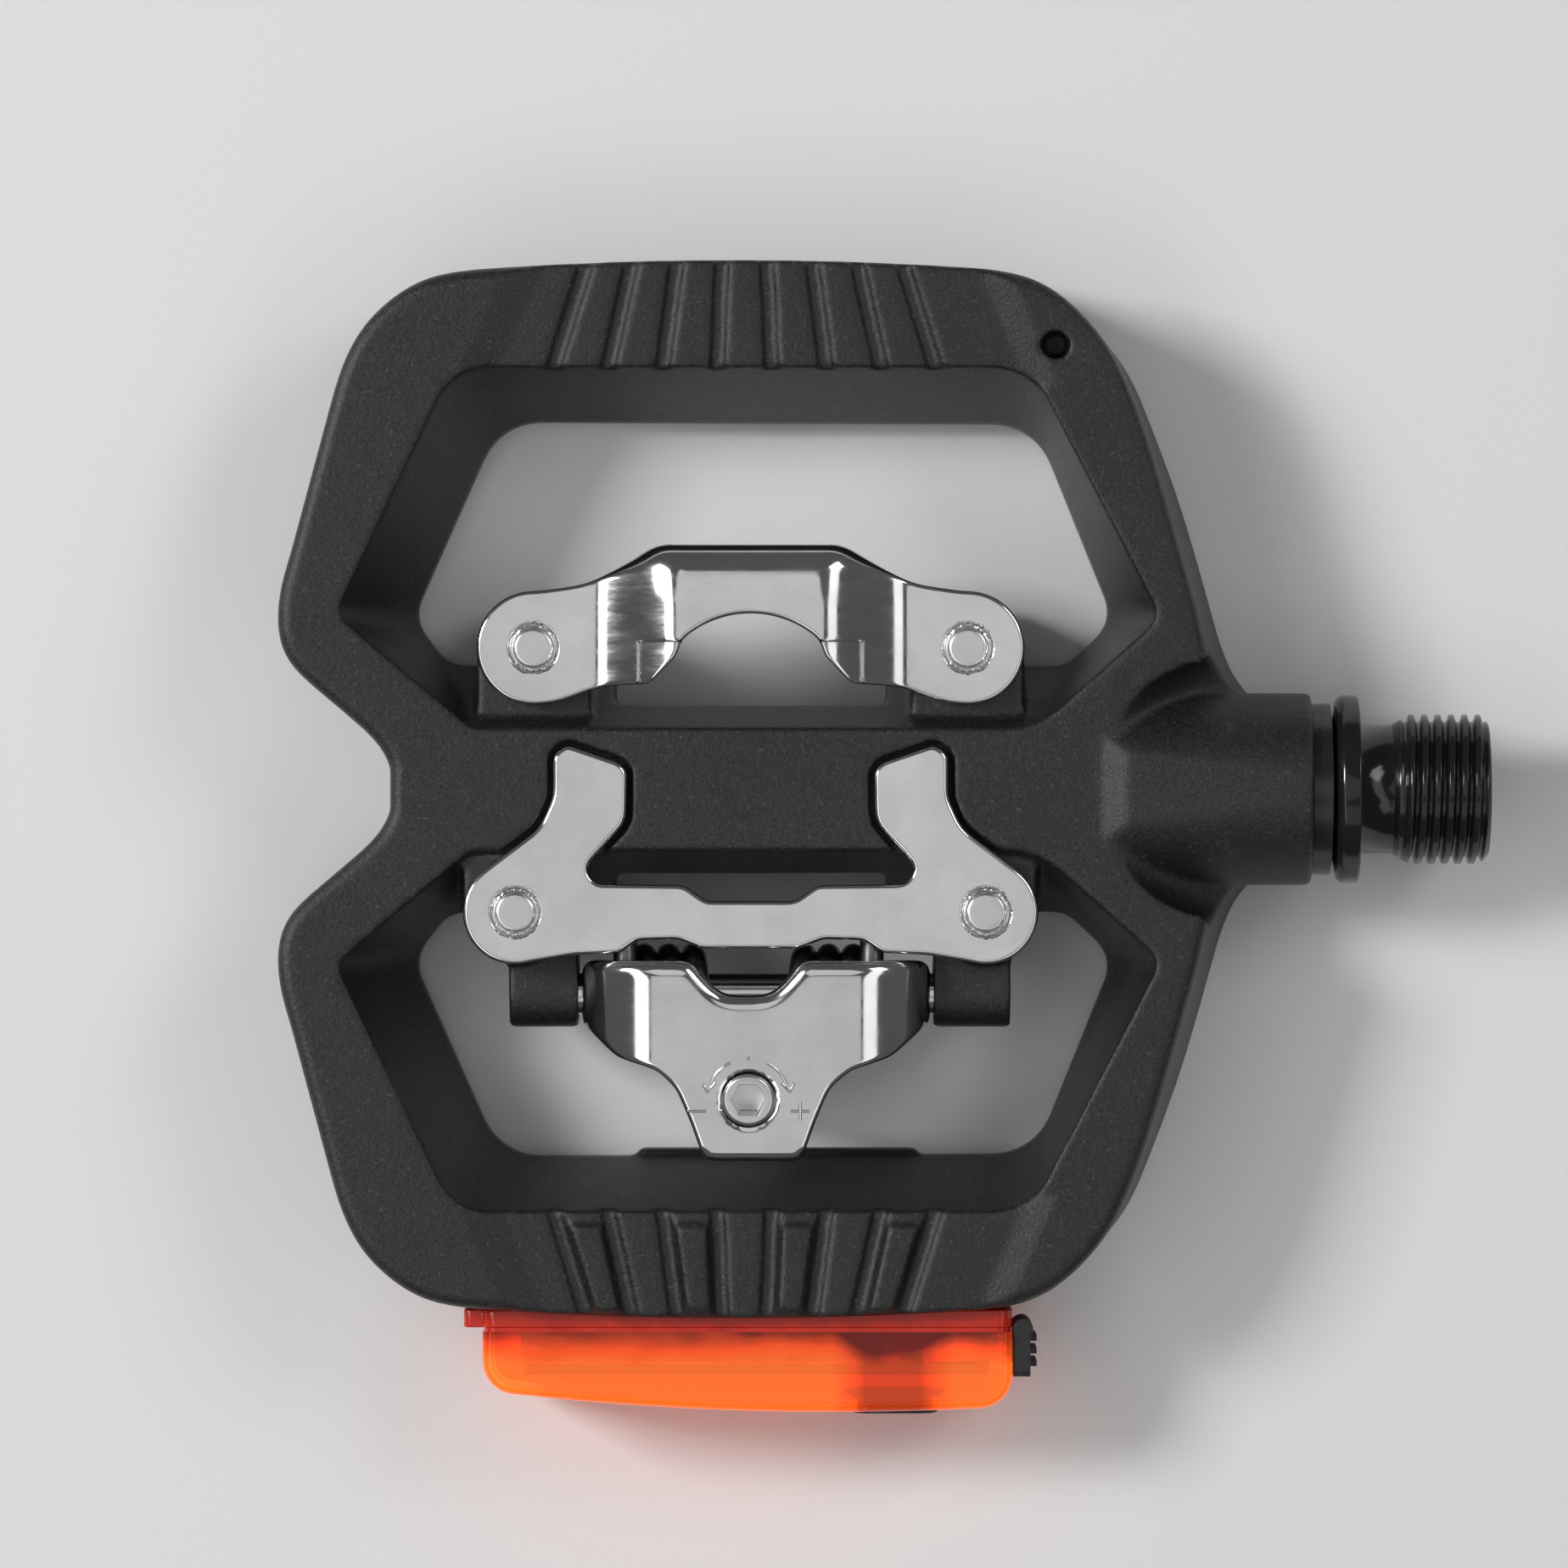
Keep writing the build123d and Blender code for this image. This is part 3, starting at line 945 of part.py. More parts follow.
PORT_HINGE_X, PORT_HINGE_Y, PORT_BARREL_R = -32.0, -51.3, 0.95
COVER_NEAR_Y, COVER_FAR_Y = -50.9, -55.9
with BuildPart() as port_cover:
    with BuildSketch(Plane.YZ.offset(PORT_COVER_X0)):
        with Locations(((COVER_NEAR_Y + COVER_FAR_Y) / 2, LIGHT_MID_Z)):
            RectangleRounded(COVER_NEAR_Y - COVER_FAR_Y, LIGHT_H - 1.6, 0.7)
    extrude(amount=PORT_COVER_X1 - PORT_COVER_X0 - 0.6)
    # finger ribs across the flap
    for y in (-52.2, -53.4, -54.6):
        with BuildSketch(Plane.YZ.offset(PORT_COVER_X1 - 0.6)):
            with Locations((y, LIGHT_MID_Z)):
                Rectangle(0.6, LIGHT_H - 3.2)
        extrude(amount=0.6)
    with BuildSketch(Plane.YZ.offset(PORT_COVER_X0)):
        with Locations((PORT_Y, LIGHT_MID_Z)):
            RectangleRounded(PORT_D - 0.5, PORT_H - 0.8, 1.0)
    extrude(amount=-0.8)
    # hinge barrel
    with Locations((PORT_HINGE_X, PORT_HINGE_Y, LIGHT_MID_Z)):
        Cylinder(PORT_BARREL_R, LIGHT_H - 1.6)
save(port_cover.part, "port_cover")
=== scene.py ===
"""Left clipless pedal with a rear light, lying on its plain side. Metres, in the CAD frame."""
import json
import math

import bmesh
import bpy
import numpy as np
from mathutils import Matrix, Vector
from mathutils.geometry import delaunay_2d_cdt


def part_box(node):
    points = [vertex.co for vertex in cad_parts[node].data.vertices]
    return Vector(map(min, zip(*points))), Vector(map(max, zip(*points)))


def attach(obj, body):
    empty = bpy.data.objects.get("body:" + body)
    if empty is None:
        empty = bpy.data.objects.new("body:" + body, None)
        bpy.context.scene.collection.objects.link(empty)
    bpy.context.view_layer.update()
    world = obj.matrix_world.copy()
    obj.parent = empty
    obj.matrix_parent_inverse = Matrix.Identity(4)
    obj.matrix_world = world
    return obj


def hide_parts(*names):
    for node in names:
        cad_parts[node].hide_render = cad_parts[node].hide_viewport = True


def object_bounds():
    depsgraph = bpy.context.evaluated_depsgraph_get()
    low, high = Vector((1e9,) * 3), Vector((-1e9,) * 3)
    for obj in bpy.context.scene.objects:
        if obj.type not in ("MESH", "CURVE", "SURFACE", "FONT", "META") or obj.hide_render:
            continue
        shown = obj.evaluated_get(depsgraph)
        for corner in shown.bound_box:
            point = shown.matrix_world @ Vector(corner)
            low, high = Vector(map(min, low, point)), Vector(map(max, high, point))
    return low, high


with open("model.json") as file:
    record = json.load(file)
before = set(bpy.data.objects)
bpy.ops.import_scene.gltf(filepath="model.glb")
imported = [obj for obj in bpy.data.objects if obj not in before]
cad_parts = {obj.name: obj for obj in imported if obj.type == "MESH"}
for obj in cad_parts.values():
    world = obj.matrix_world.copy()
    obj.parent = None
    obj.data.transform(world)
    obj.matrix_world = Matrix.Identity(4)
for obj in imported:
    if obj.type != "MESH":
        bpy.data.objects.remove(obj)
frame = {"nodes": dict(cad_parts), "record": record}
CAD_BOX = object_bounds()
NODES = frame["nodes"]
MM = 0.001


def linked(name, data):
    """A new object in the scene."""
    piece = bpy.data.objects.new(name, data)
    bpy.context.collection.objects.link(piece)
    return piece


# ---------------------------------------------------------------- shader helpers
def new_material(name):
    """A material with one Principled shader."""
    material = bpy.data.materials.new(name)
    material.use_nodes = True
    tree = material.node_tree
    tree.nodes.clear()
    output = tree.nodes.new("ShaderNodeOutputMaterial")
    shader = tree.nodes.new("ShaderNodeBsdfPrincipled")
    tree.links.new(shader.outputs["BSDF"], output.inputs["Surface"])
    return material, tree, shader


def noise(tree, scale, detail=4.0, roughness=0.55, stretch=(1, 1, 1)):
    """Noise in the object's own metres; scale is in cells per metre."""
    coords = tree.nodes.new("ShaderNodeTexCoord")
    mapping = tree.nodes.new("ShaderNodeMapping")
    mapping.inputs["Scale"].default_value = stretch
    texture = tree.nodes.new("ShaderNodeTexNoise")
    texture.inputs["Scale"].default_value = scale
    texture.inputs["Detail"].default_value = detail
    texture.inputs["Roughness"].default_value = roughness
    tree.links.new(coords.outputs["Object"], mapping.inputs["Vector"])
    tree.links.new(mapping.outputs["Vector"], texture.inputs["Vector"])
    return texture.outputs["Fac"]


def ramp(tree, factor, stops):
    """A colour ramp from (position, colour) stops."""
    node = tree.nodes.new("ShaderNodeValToRGB")
    elements = node.color_ramp.elements
    while len(elements) < len(stops):
        elements.new(0.5)
    for element, (position, colour) in zip(elements, stops):
        element.position = position
        element.color = (*colour, 1)
    tree.links.new(factor, node.inputs["Fac"])
    return node.outputs["Color"]


def remap(tree, factor, low, high, from_low=0.3, from_high=0.7):
    """A factor spread between two values."""
    node = tree.nodes.new("ShaderNodeMapRange")
    node.inputs["From Min"].default_value = from_low
    node.inputs["From Max"].default_value = from_high
    node.inputs["To Min"].default_value = low
    node.inputs["To Max"].default_value = high
    tree.links.new(factor, node.inputs["Value"])
    return node.outputs["Result"]


def bump(tree, shader, height, depth):
    """Relief of the given depth in metres; more than one can be chained."""
    node = tree.nodes.new("ShaderNodeBump")
    node.inputs["Strength"].default_value = 1.0
    node.inputs["Distance"].default_value = depth
    if shader.inputs["Normal"].links:
        tree.links.new(shader.inputs["Normal"].links[0].from_socket, node.inputs["Normal"])
    tree.links.new(height, node.inputs["Height"])
    tree.links.new(node.outputs["Normal"], shader.inputs["Normal"])


# ---------------------------------------------------------------- materials
def composite():
    """Glass-filled nylon with the fine grain of a blasted mould and a few pale specks."""
    material, tree, shader = new_material("composite")
    cloud = noise(tree, 110, 5)
    grain = noise(tree, 2700, 4, 0.75)
    specks = noise(tree, 2300, 2, 0.5)
    fine = noise(tree, 4200, 3, 0.6)
    dark = ramp(tree, cloud, [(0.3, (0.004, 0.004, 0.0042)), (0.7, (0.007, 0.0068, 0.0068))])
    pale = ramp(tree, cloud, [(0.3, (0.017, 0.017, 0.0175)), (0.7, (0.022, 0.0215, 0.0215))])
    blend = tree.nodes.new("ShaderNodeMix")
    blend.data_type = "RGBA"
    tree.links.new(remap(tree, fine, 0.0, 1.0, 0.4, 0.62), blend.inputs["Factor"])
    tree.links.new(dark, blend.inputs["A"])
    tree.links.new(pale, blend.inputs["B"])
    colour = blend.outputs["Result"]
    mix = tree.nodes.new("ShaderNodeMix")
    mix.data_type = "RGBA"
    tree.links.new(remap(tree, specks, 0.0, 1.0, 0.64, 0.74), mix.inputs["Factor"])
    tree.links.new(colour, mix.inputs["A"])
    mix.inputs["B"].default_value = (0.05, 0.05, 0.05, 1)
    tree.links.new(mix.outputs["Result"], shader.inputs["Base Color"])
    tree.links.new(remap(tree, grain, 0.33, 0.47), shader.inputs["Roughness"])
    shader.inputs["Specular IOR Level"].default_value = 0.5
    bump(tree, shader, grain, 0.00008)
    return material


def polished_steel(name, low=0.07, high=0.17):
    """Plated sheet steel, bright, with faint clouding, orange peel and hairline scuffs."""
    material, tree, shader = new_material(name)
    shader.inputs["Metallic"].default_value = 1.0
    cloud = noise(tree, 170, 4)
    scuffs = noise(tree, 260, 5, 0.65, (1, 4, 1))
    peel = noise(tree, 700, 2, 0.4)
    colour = ramp(tree, cloud, [(0.3, (0.70, 0.70, 0.70)), (0.7, (0.82, 0.82, 0.815))])
    tree.links.new(colour, shader.inputs["Base Color"])
    tree.links.new(remap(tree, scuffs, low, high), shader.inputs["Roughness"])
    bump(tree, shader, peel, 0.0000012)
    return material


def simple(name, colour, roughness, metallic=0.0, scale=400, depth=0.00001):
    """A plain finish with slight unevenness in colour, gloss and surface."""
    material, tree, shader = new_material(name)
    cloud = noise(tree, scale, 4)
    darker = tuple(c * 0.8 for c in colour)
    tree.links.new(ramp(tree, cloud, [(0.3, darker), (0.7, colour)]), shader.inputs["Base Color"])
    tree.links.new(remap(tree, cloud, roughness * 0.8, roughness * 1.2), shader.inputs["Roughness"])
    shader.inputs["Metallic"].default_value = metallic
    bump(tree, shader, cloud, depth)
    return material


# Painted shade on the lens: its colours darken from the heel towards the overhanging platform, and again in
# the button's painted shadow over a middle stretch in X.
LENS_HEEL_Y, LENS_TOE_Y, LENS_WAVE = -53.6 * MM, -50.0 * MM, 2.2 * MM
LENS_BUTTON_SHADOW = (-50.2 * MM, -47.0 * MM, -41.8 * MM, -38.5 * MM)
LENS_STOPS = (0.0, 0.35, 0.75)
LENS_COLOURS = ((1.0, 0.30, 0.045), (0.95, 0.13, 0.01), (0.30, 0.012, 0.002))
# Painted glow: emission colours that stand in for light in the lens, dimmed by the same painted shade.
LENS_PAINTED_GLOW = ((1.0, 0.17, 0.014), (0.9, 0.11, 0.008), (0.12, 0.004, 0.001))


def math_node(tree, operation, first, second):
    """A Math node of two linked inputs, or one linked and one set."""
    node = tree.nodes.new("ShaderNodeMath")
    node.operation = operation
    tree.links.new(first, node.inputs[0])
    if isinstance(second, float):
        node.inputs[1].default_value = second
    else:
        tree.links.new(second, node.inputs[1])
    return node


def lens_painted_shade(tree):
    """Painted shade on the lens: 0 at its heel, rising towards the platform that overhangs it, and more in
    the middle, where the button's painted shadow falls.
    """
    coords = tree.nodes.new("ShaderNodeTexCoord")
    split = tree.nodes.new("ShaderNodeSeparateXYZ")
    tree.links.new(coords.outputs["Object"], split.inputs["Vector"])
    wave = math_node(tree, "MULTIPLY_ADD", noise(tree, 210, 3, 0.5, (1.0, 2.0, 1)), LENS_WAVE)
    tree.links.new(split.outputs["Y"], wave.inputs[2])
    depth = remap(tree, wave.outputs["Value"], 0.0, 0.8, LENS_HEEL_Y, LENS_TOE_Y)
    # the button's painted shadow: 1 over the middle stretch in X, fading to 0 at both ends
    near = remap(tree, split.outputs["X"], 0.0, 1.0, *LENS_BUTTON_SHADOW[:2])
    far = remap(tree, split.outputs["X"], 1.0, 0.0, *LENS_BUTTON_SHADOW[2:])
    button_shadow = math_node(tree, "MULTIPLY", near, far)
    darker = math_node(tree, "MULTIPLY_ADD", button_shadow.outputs["Value"], 0.5)
    tree.links.new(depth, darker.inputs[2])
    return darker.outputs["Value"]


def orange_lens():
    """Orange polycarbonate with a painted glow from inside, darkened to dark red by painted shade towards
    the platform and in the button's painted shadow.
    """
    material, tree, shader = new_material("orange_lens")
    depth = lens_painted_shade(tree)
    # painted shade: the colour goes from orange to dark red as the painted shade rises
    colour = ramp(tree, depth, list(zip(LENS_STOPS, LENS_COLOURS)))
    tree.links.new(colour, shader.inputs["Base Color"])
    # painted glow: the lens emits light though it is no lamp, darkened by the same painted shade
    painted_glow = ramp(tree, depth, list(zip(LENS_STOPS, LENS_PAINTED_GLOW)))
    tree.links.new(painted_glow, shader.inputs["Emission Color"])
    shader.inputs["Emission Strength"].default_value = 0.3
    tree.links.new(remap(tree, noise(tree, 900, 3), 0.06, 0.16), shader.inputs["Roughness"])
    shader.inputs["Transmission Weight"].default_value = 0.8
    shader.inputs["IOR"].default_value = 1.45
    bump(tree, shader, noise(tree, 350, 3), 0.00003)
    return material


def red_cover():
    """The light's base: the same plastic as the lens, dyed a deep red."""
    material, tree, shader = new_material("red_cover")
    cloud = noise(tree, 240, 3)
    colour = ramp(tree, cloud, [(0.3, (0.62, 0.018, 0.007)), (0.7, (0.85, 0.045, 0.014))])
    tree.links.new(colour, shader.inputs["Base Color"])
    tree.links.new(remap(tree, cloud, 0.16, 0.28), shader.inputs["Roughness"])
    shader.inputs["Transmission Weight"].default_value = 0.25
    bump(tree, shader, noise(tree, 900, 3), 0.00001)
    return material


MATERIALS = {
    "composite": composite(),
    "steel": polished_steel("polished_steel"),
    "black_steel": simple("black_steel", (0.012, 0.012, 0.0125), 0.14, 0.0, 300, 0.000003),
    "bearing_steel": polished_steel("ground_steel", 0.12, 0.22),
    "rubber": simple("rubber", (0.016, 0.016, 0.0165), 0.6, 0.0, 1500, 0.00004),
    "brass": simple("brass", (0.72, 0.5, 0.2), 0.25, 1.0),
    "aluminium": simple("aluminium", (0.7, 0.7, 0.71), 0.35, 1.0),
    "black_aluminium": simple("black_aluminium", (0.018, 0.018, 0.019), 0.24, 0.0, 500, 0.000005),
    "lens": orange_lens(),
    "board": simple("board", (0.01, 0.06, 0.03), 0.35),
    "led": simple("led", (0.9, 0.75, 0.3), 0.3),
    "wrap": simple("wrap", (0.25, 0.28, 0.33), 0.4),
    "spring_steel": simple("spring_steel", (0.25, 0.25, 0.26), 0.3, 1.0),
}
SLOT_OF = {part["node"]: part["material_slot"] for part in frame["record"]["subparts"]}
BODY_OF = {node: body for body, nodes in frame["record"]["behaviour"]["bodies"].items() for node in nodes}

FINISH_OF = {node: MATERIALS[slot_name] for node, slot_name in SLOT_OF.items()}
FINISH_OF["light_back_cover"] = FINISH_OF["light_gasket"] = red_cover()
SATIN = polished_steel("satin_steel", 0.26, 0.36)
for node in ("claw_rivets", "tread_plate_rivets", "tension_screw"):
    FINISH_OF[node] = SATIN

for node, finish in FINISH_OF.items():
    NODES[node].data.materials.clear()
    NODES[node].data.materials.append(finish)


# ---------------------------------------------------------------- mesh helpers
WELD = 0.002 * MM
FLAT_DEGREES = 0.4


def welded(node):
    """The CAD node's mesh as one welded bmesh."""
    mesh = bmesh.new()
    mesh.from_mesh(NODES[node].data)
    bmesh.ops.remove_doubles(mesh, verts=mesh.verts, dist=WELD)
    return mesh


def cad_copy(node):
    """The welded mesh with its flat faces whole again."""
    mesh = welded(node)
    bmesh.ops.dissolve_limit(
        mesh, angle_limit=math.radians(FLAT_DEGREES), use_dissolve_boundaries=False,
        verts=mesh.verts, edges=mesh.edges,
    )
    return mesh


def sharp_edges(mesh, degrees=28):
    """The edges where two faces meet at more than the angle."""
    limit = math.radians(degrees)
    return [e for e in mesh.edges if len(e.link_faces) == 2 and e.calc_face_angle(0) > limit]


def round_edges(mesh, edges, width, segments=3):
    """Rounds the edges over the given width."""
    bmesh.ops.bevel(
        mesh, geom=edges, offset=width, offset_type="OFFSET", segments=segments, profile=0.5,
        affect="EDGES", clamp_overlap=True, loop_slide=True,
    )


def finished(mesh, name, node, smooth_degrees=35):
    """The bmesh as a piece that stands for the CAD node, on its body and with its finish."""
    data = bpy.data.meshes.new(name)
    bmesh.ops.triangulate(mesh, faces=[f for f in mesh.faces if len(f.verts) > 4])
    mesh.normal_update()
    mesh.to_mesh(data)
    mesh.free()
    piece = linked(name, data)
    data.materials.append(FINISH_OF[node])
    data.shade_smooth()
    data.set_sharp_from_angle(angle=math.radians(smooth_degrees))
    weighted = piece.modifiers.new("weighted", "WEIGHTED_NORMAL")
    weighted.keep_sharp = True
    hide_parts(node)
    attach(piece, BODY_OF[node])
    return piece


# ---------------------------------------------------------------- pressed sheet steel
EAR_HOLE_TOP = 2.0 * MM
LEVEL = 0.12


def plan_edges(node):
    """Where the CAD node's top meets its walls, in plan: each place and the ones beside it."""
    mesh = welded(node)
    mesh.normal_update()
    beside = {}
    for edge in mesh.edges:
        slopes = sorted(face.normal.z for face in edge.link_faces)
        if len(slopes) != 2 or slopes[1] < LEVEL or abs(slopes[0]) > LEVEL:
            continue
        start, end = [(round(v.co.x, 6), round(v.co.y, 6)) for v in edge.verts]
        above = min(v.co.z for v in edge.verts) > EAR_HOLE_TOP
        if start != end and above:
            beside.setdefault(start, set()).add(end)
            beside.setdefault(end, set()).add(start)
    mesh.free()
    return beside


def plan_outline(node):
    """The sheet's outer outline, walked counter-clockwise from its leftmost place."""
    beside = plan_edges(node)
    start = min(beside)
    loop, here, behind = [start], start, (start[0] - 1, start[1])
    for _ in range(len(beside)):
        back = math.atan2(behind[1] - here[1], behind[0] - here[0])
        turns = {}
        for place in beside[here]:
            turns[(math.atan2(place[1] - here[1], place[0] - here[0]) - back) % (2 * math.pi) or 9] = place
        behind, here = here, turns[min(turns)]
        if here == start:
            break
        loop.append(here)
    return np.array(loop)


def resampled(loop, spacing):
    """A closed line as evenly spaced points."""
    closed = np.vstack([loop, loop[:1]])
    lengths = np.hypot(*np.diff(closed, axis=0).T)
    along = np.concatenate([[0], np.cumsum(lengths)])
    count = max(int(along[-1] / spacing), 12)
    places = np.linspace(0, along[-1], count, endpoint=False)
    return np.column_stack([np.interp(places, along, closed[:, i]) for i in range(2)])


def softened(loop, rounds):
    """A closed line with its corners eased."""
    for _ in range(rounds):
        loop = 0.5 * loop + 0.25 * (np.roll(loop, 1, axis=0) + np.roll(loop, -1, axis=0))
    return loop


def circle(centre, radius, spacing):
    """Points round a hole."""
    count = max(int(2 * math.pi * radius / spacing), 24)
    turns = np.linspace(0, 2 * math.pi, count, endpoint=False)
    return np.array(centre) + radius * np.column_stack([np.cos(turns), np.sin(turns)])


def inside(points, loops):
    """Which points lie inside the outline and outside its holes."""
    odd = np.zeros(len(points), dtype=bool)
    for loop in loops:
        for (ax, ay), (bx, by) in zip(loop, np.roll(loop, -1, axis=0)):
            if ay == by:
                continue
            crosses = (ay > points[:, 1]) != (by > points[:, 1])
            odd ^= crosses & (points[:, 0] < ax + (points[:, 1] - ay) * (bx - ax) / (by - ay))
    return odd


def to_edge(points, loop):
    """Each point's distance to a closed line, and its nearest place on the line."""
    best = np.full(len(points), np.inf)
    nearest = np.zeros_like(points)
    for start, end in zip(loop, np.roll(loop, -1, axis=0)):
        run = end - start
        share = np.clip(((points - start) @ run) / (run @ run), 0, 1)
        place = start + share[:, None] * run
        distance = np.hypot(*(points - place).T)
        closer = distance < best
        best[closer] = distance[closer]
        nearest[closer] = place[closer]
    return best, nearest


def rolled(distance, radius):
    """How far a rounded edge has dropped at a distance from it."""
    inner = np.clip(radius - distance, 0, radius)
    return radius - np.sqrt(np.maximum(radius * radius - inner * inner, 0))


def eased(value):
    """0 to 1 with soft ends."""
    value = np.clip(value, 0, 1)
    return value * value * (3 - 2 * value)


SHEET_STEP = 0.34 * MM
HOLE_ROLL = 0.08 * MM
UNDER_ROLL = 0.3 * MM
ROW_SHARES = (0.03, 0.12, 0.27, 0.48, 0.74, 1.02, 1.3)


def sheet_points(loops, radius, extra):
    """Points over the sheet: its edges, rows that follow them, a grid and the extra ones."""
    rows = []
    outer = loops[0]
    tangent = np.roll(outer, -1, axis=0) - np.roll(outer, 1, axis=0)
    inward = np.column_stack([-tangent[:, 1], tangent[:, 0]]) / np.hypot(*tangent.T)[:, None]
    if not inside(outer[:1] + 0.05 * MM * inward[:1], loops)[0]:
        inward = -inward
    for share in ROW_SHARES:
        reach = share * radius(outer)
        row = outer + reach[:, None] * inward
        rows.append(row[to_edge(row, outer)[0] > 0.9 * reach])
    low, high = outer.min(axis=0), outer.max(axis=0)
    across = np.arange(low[0], high[0], 1.25 * SHEET_STEP)
    along = np.arange(low[1], high[1], 1.08 * SHEET_STEP)
    stagger = 0.6 * SHEET_STEP
    grid = np.array([(x + (stagger if i % 2 else 0), y) for i, y in enumerate(along) for x in across])
    distance, nearest = to_edge(grid, outer)
    rows.append(grid[distance > 1.45 * radius(nearest)])
    rows += extra
    points = np.vstack(rows)
    points = points[inside(points, loops)]
    for hole in loops[1:]:
        points = points[to_edge(points, hole)[0] > HOLE_ROLL]
    return points


def two_faced(x, y, upper, lower, triangles):
    """A bmesh of the two faces, with walls where the triangles end."""
    mesh = bmesh.new()
    tops = [mesh.verts.new(p) for p in zip(x, y, upper)]
    lows = [mesh.verts.new(p) for p in zip(x, y, lower)]
    used = {}
    for a, b, c in triangles:
        mesh.faces.new((tops[a], tops[b], tops[c]))
        mesh.faces.new((lows[c], lows[b], lows[a]))
        for p, q in ((a, b), (b, c), (c, a)):
            used[(p, q)] = used.get((p, q), 0) + 1
    for p, q in used:
        if (q, p) not in used:
            mesh.faces.new((tops[q], tops[p], lows[p], lows[q]))
    loose = [v for v in mesh.verts if not v.link_faces]
    bmesh.ops.delete(mesh, geom=loose, context="VERTS")
    bmesh.ops.recalc_face_normals(mesh, faces=mesh.faces)
    return mesh


def pressed_sheet(node, name, top, bottom, radius, holes=(), extra=(), corner=1):
    """A pressed sheet with rolled edges over the CAD node's plan; top and bottom give its two faces."""
    loops = [softened(resampled(plan_outline(node), SHEET_STEP), corner)]
    loops += [circle(centre, r, 0.8 * SHEET_STEP) for centre, r in holes]
    flat = np.vstack(loops + [sheet_points(loops, radius, list(extra))])
    constraints = []
    start = 0
    for loop in loops:
        count = len(loop)
        constraints += [(start + i, start + (i + 1) % count) for i in range(count)]
        start += count
    result = delaunay_2d_cdt([Vector(p) for p in flat / MM], constraints, [], 0, 1e-5)
    spots, triangles = np.array([tuple(v) for v in result[0]]) * MM, result[2]
    middles = np.array([spots[list(t)].mean(axis=0) for t in triangles])
    triangles = [t for t, keep in zip(triangles, inside(middles, loops)) if keep]
    distance, nearest = to_edge(spots, loops[0])
    drop = rolled(distance, radius(nearest))
    under = rolled(distance, UNDER_ROLL)
    for hole in loops[1:]:
        from_hole = to_edge(spots, hole)[0]
        drop = np.maximum(drop, rolled(from_hole, HOLE_ROLL))
    x, y = spots.T
    base = top(x, y)
    upper = base - drop
    lower = bottom(x, y, base) + under
    mesh = two_faced(x, y, upper, lower, triangles)
    return finished(mesh, name, node, 50)


CLIP_X = -57.9 * MM
RIVET_R = 1.92 * MM
RING_R, RING_DEPTH = 2.45 * MM, 0.6 * MM


def rivet_ring(x, y, centres):
    """The countersink round each rivet."""
    sunk = np.zeros_like(x)
    for cx, cy in centres:
        sunk = np.maximum(sunk, eased((RING_R - np.hypot(x - cx, y - cy)) / (0.25 * MM)) * RING_DEPTH)
    return sunk


def ring_points(centres):
    """Rows of points that follow the countersinks."""
    radii = (2.05, 2.2, 2.3, 2.4, 2.5, 2.6, 2.75, 3.0)
    return [circle(c, r * MM, 0.3 * MM) for c in centres for r in radii]


# front claw: flat legs, a smooth rise each side, and a bridge whose front rolls down over the cleat
LEG_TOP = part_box("claw_rivets")[1][2] - 0.2 * MM
CLAW_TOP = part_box("front_claw")[1][2]
CLAW_T = 2.3 * MM
CLAW_RIVETS = [(CLIP_X + side * 20.6 * MM, 13.4 * MM) for side in (-1, 1)]
RISER_OUT, RISER_IN = 15.3 * MM, 6.4 * MM
NOSE_ROLL, LEG_ROLL = 2.7 * MM, 0.5 * MM
NOSE_Y, NOSE_HALF, NOSE_LOW = 23.2 * MM, 7.6 * MM, LEG_TOP - CLAW_T + 1.0 * MM
COIN_X, COIN_Y, COIN_DEPTH = 10.8 * MM, 14.1 * MM, 0.5 * MM


def claw_rise(x):
    """0 on the legs to 1 on the bridge."""
    return eased((RISER_OUT - np.abs(x - CLIP_X)) / (RISER_OUT - RISER_IN))


def claw_top(x, y):
    """The claw's upper face before its edges are rolled."""
    height = LEG_TOP + (CLAW_TOP - LEG_TOP) * claw_rise(x)
    height -= 0.35 * MM * eased((y - 17.5 * MM) / (5 * MM)) * claw_rise(x)
    return height


def claw_edge(places):
    """Edge radius: large along the bridge's front, small elsewhere."""
    x, y = places.T
    front = eased((y - 17.0 * MM) / (2.0 * MM))
    return LEG_ROLL * 0.8 + (NOSE_ROLL - LEG_ROLL) * front * claw_rise(x)


def claw_bottom(x, y, base):
    """The claw's lower face, with the nose bent down along the front."""
    steep = 1 + 0.35 * np.sin(math.pi * claw_rise(x))
    low = base - CLAW_T * steep
    ahead = eased((CLAW_T + 0.3 * MM - (NOSE_Y - y)) / (0.4 * MM))
    nose = ahead * eased((NOSE_HALF - np.abs(x - CLIP_X)) / (0.5 * MM))
    return low + (NOSE_LOW - low) * nose * (y > 18 * MM)


def coined(x, y):
    """How far the pressed steps at the legs' inner corners are sunk."""
    reach = np.minimum((COIN_X - np.abs(x - CLIP_X)), (COIN_Y - y))
    return COIN_DEPTH * eased(reach / (0.18 * MM))


def coin_points():
    """Rows of points either side of the coined steps' edges."""
    rows = []
    for side in (-1, 1):
        for gap in (-0.12, 0.02, 0.1, 0.2, 0.34):
            xs = CLIP_X + side * np.arange(6.0 * MM, COIN_X - gap * MM, 0.15 * MM)
            rows.append(np.column_stack([xs, np.full_like(xs, COIN_Y - gap * MM)]))
            ys = np.arange(9.0 * MM, COIN_Y - gap * MM, 0.15 * MM)
            rows.append(np.column_stack([np.full_like(ys, CLIP_X + side * (COIN_X - gap * MM)), ys]))
    return rows


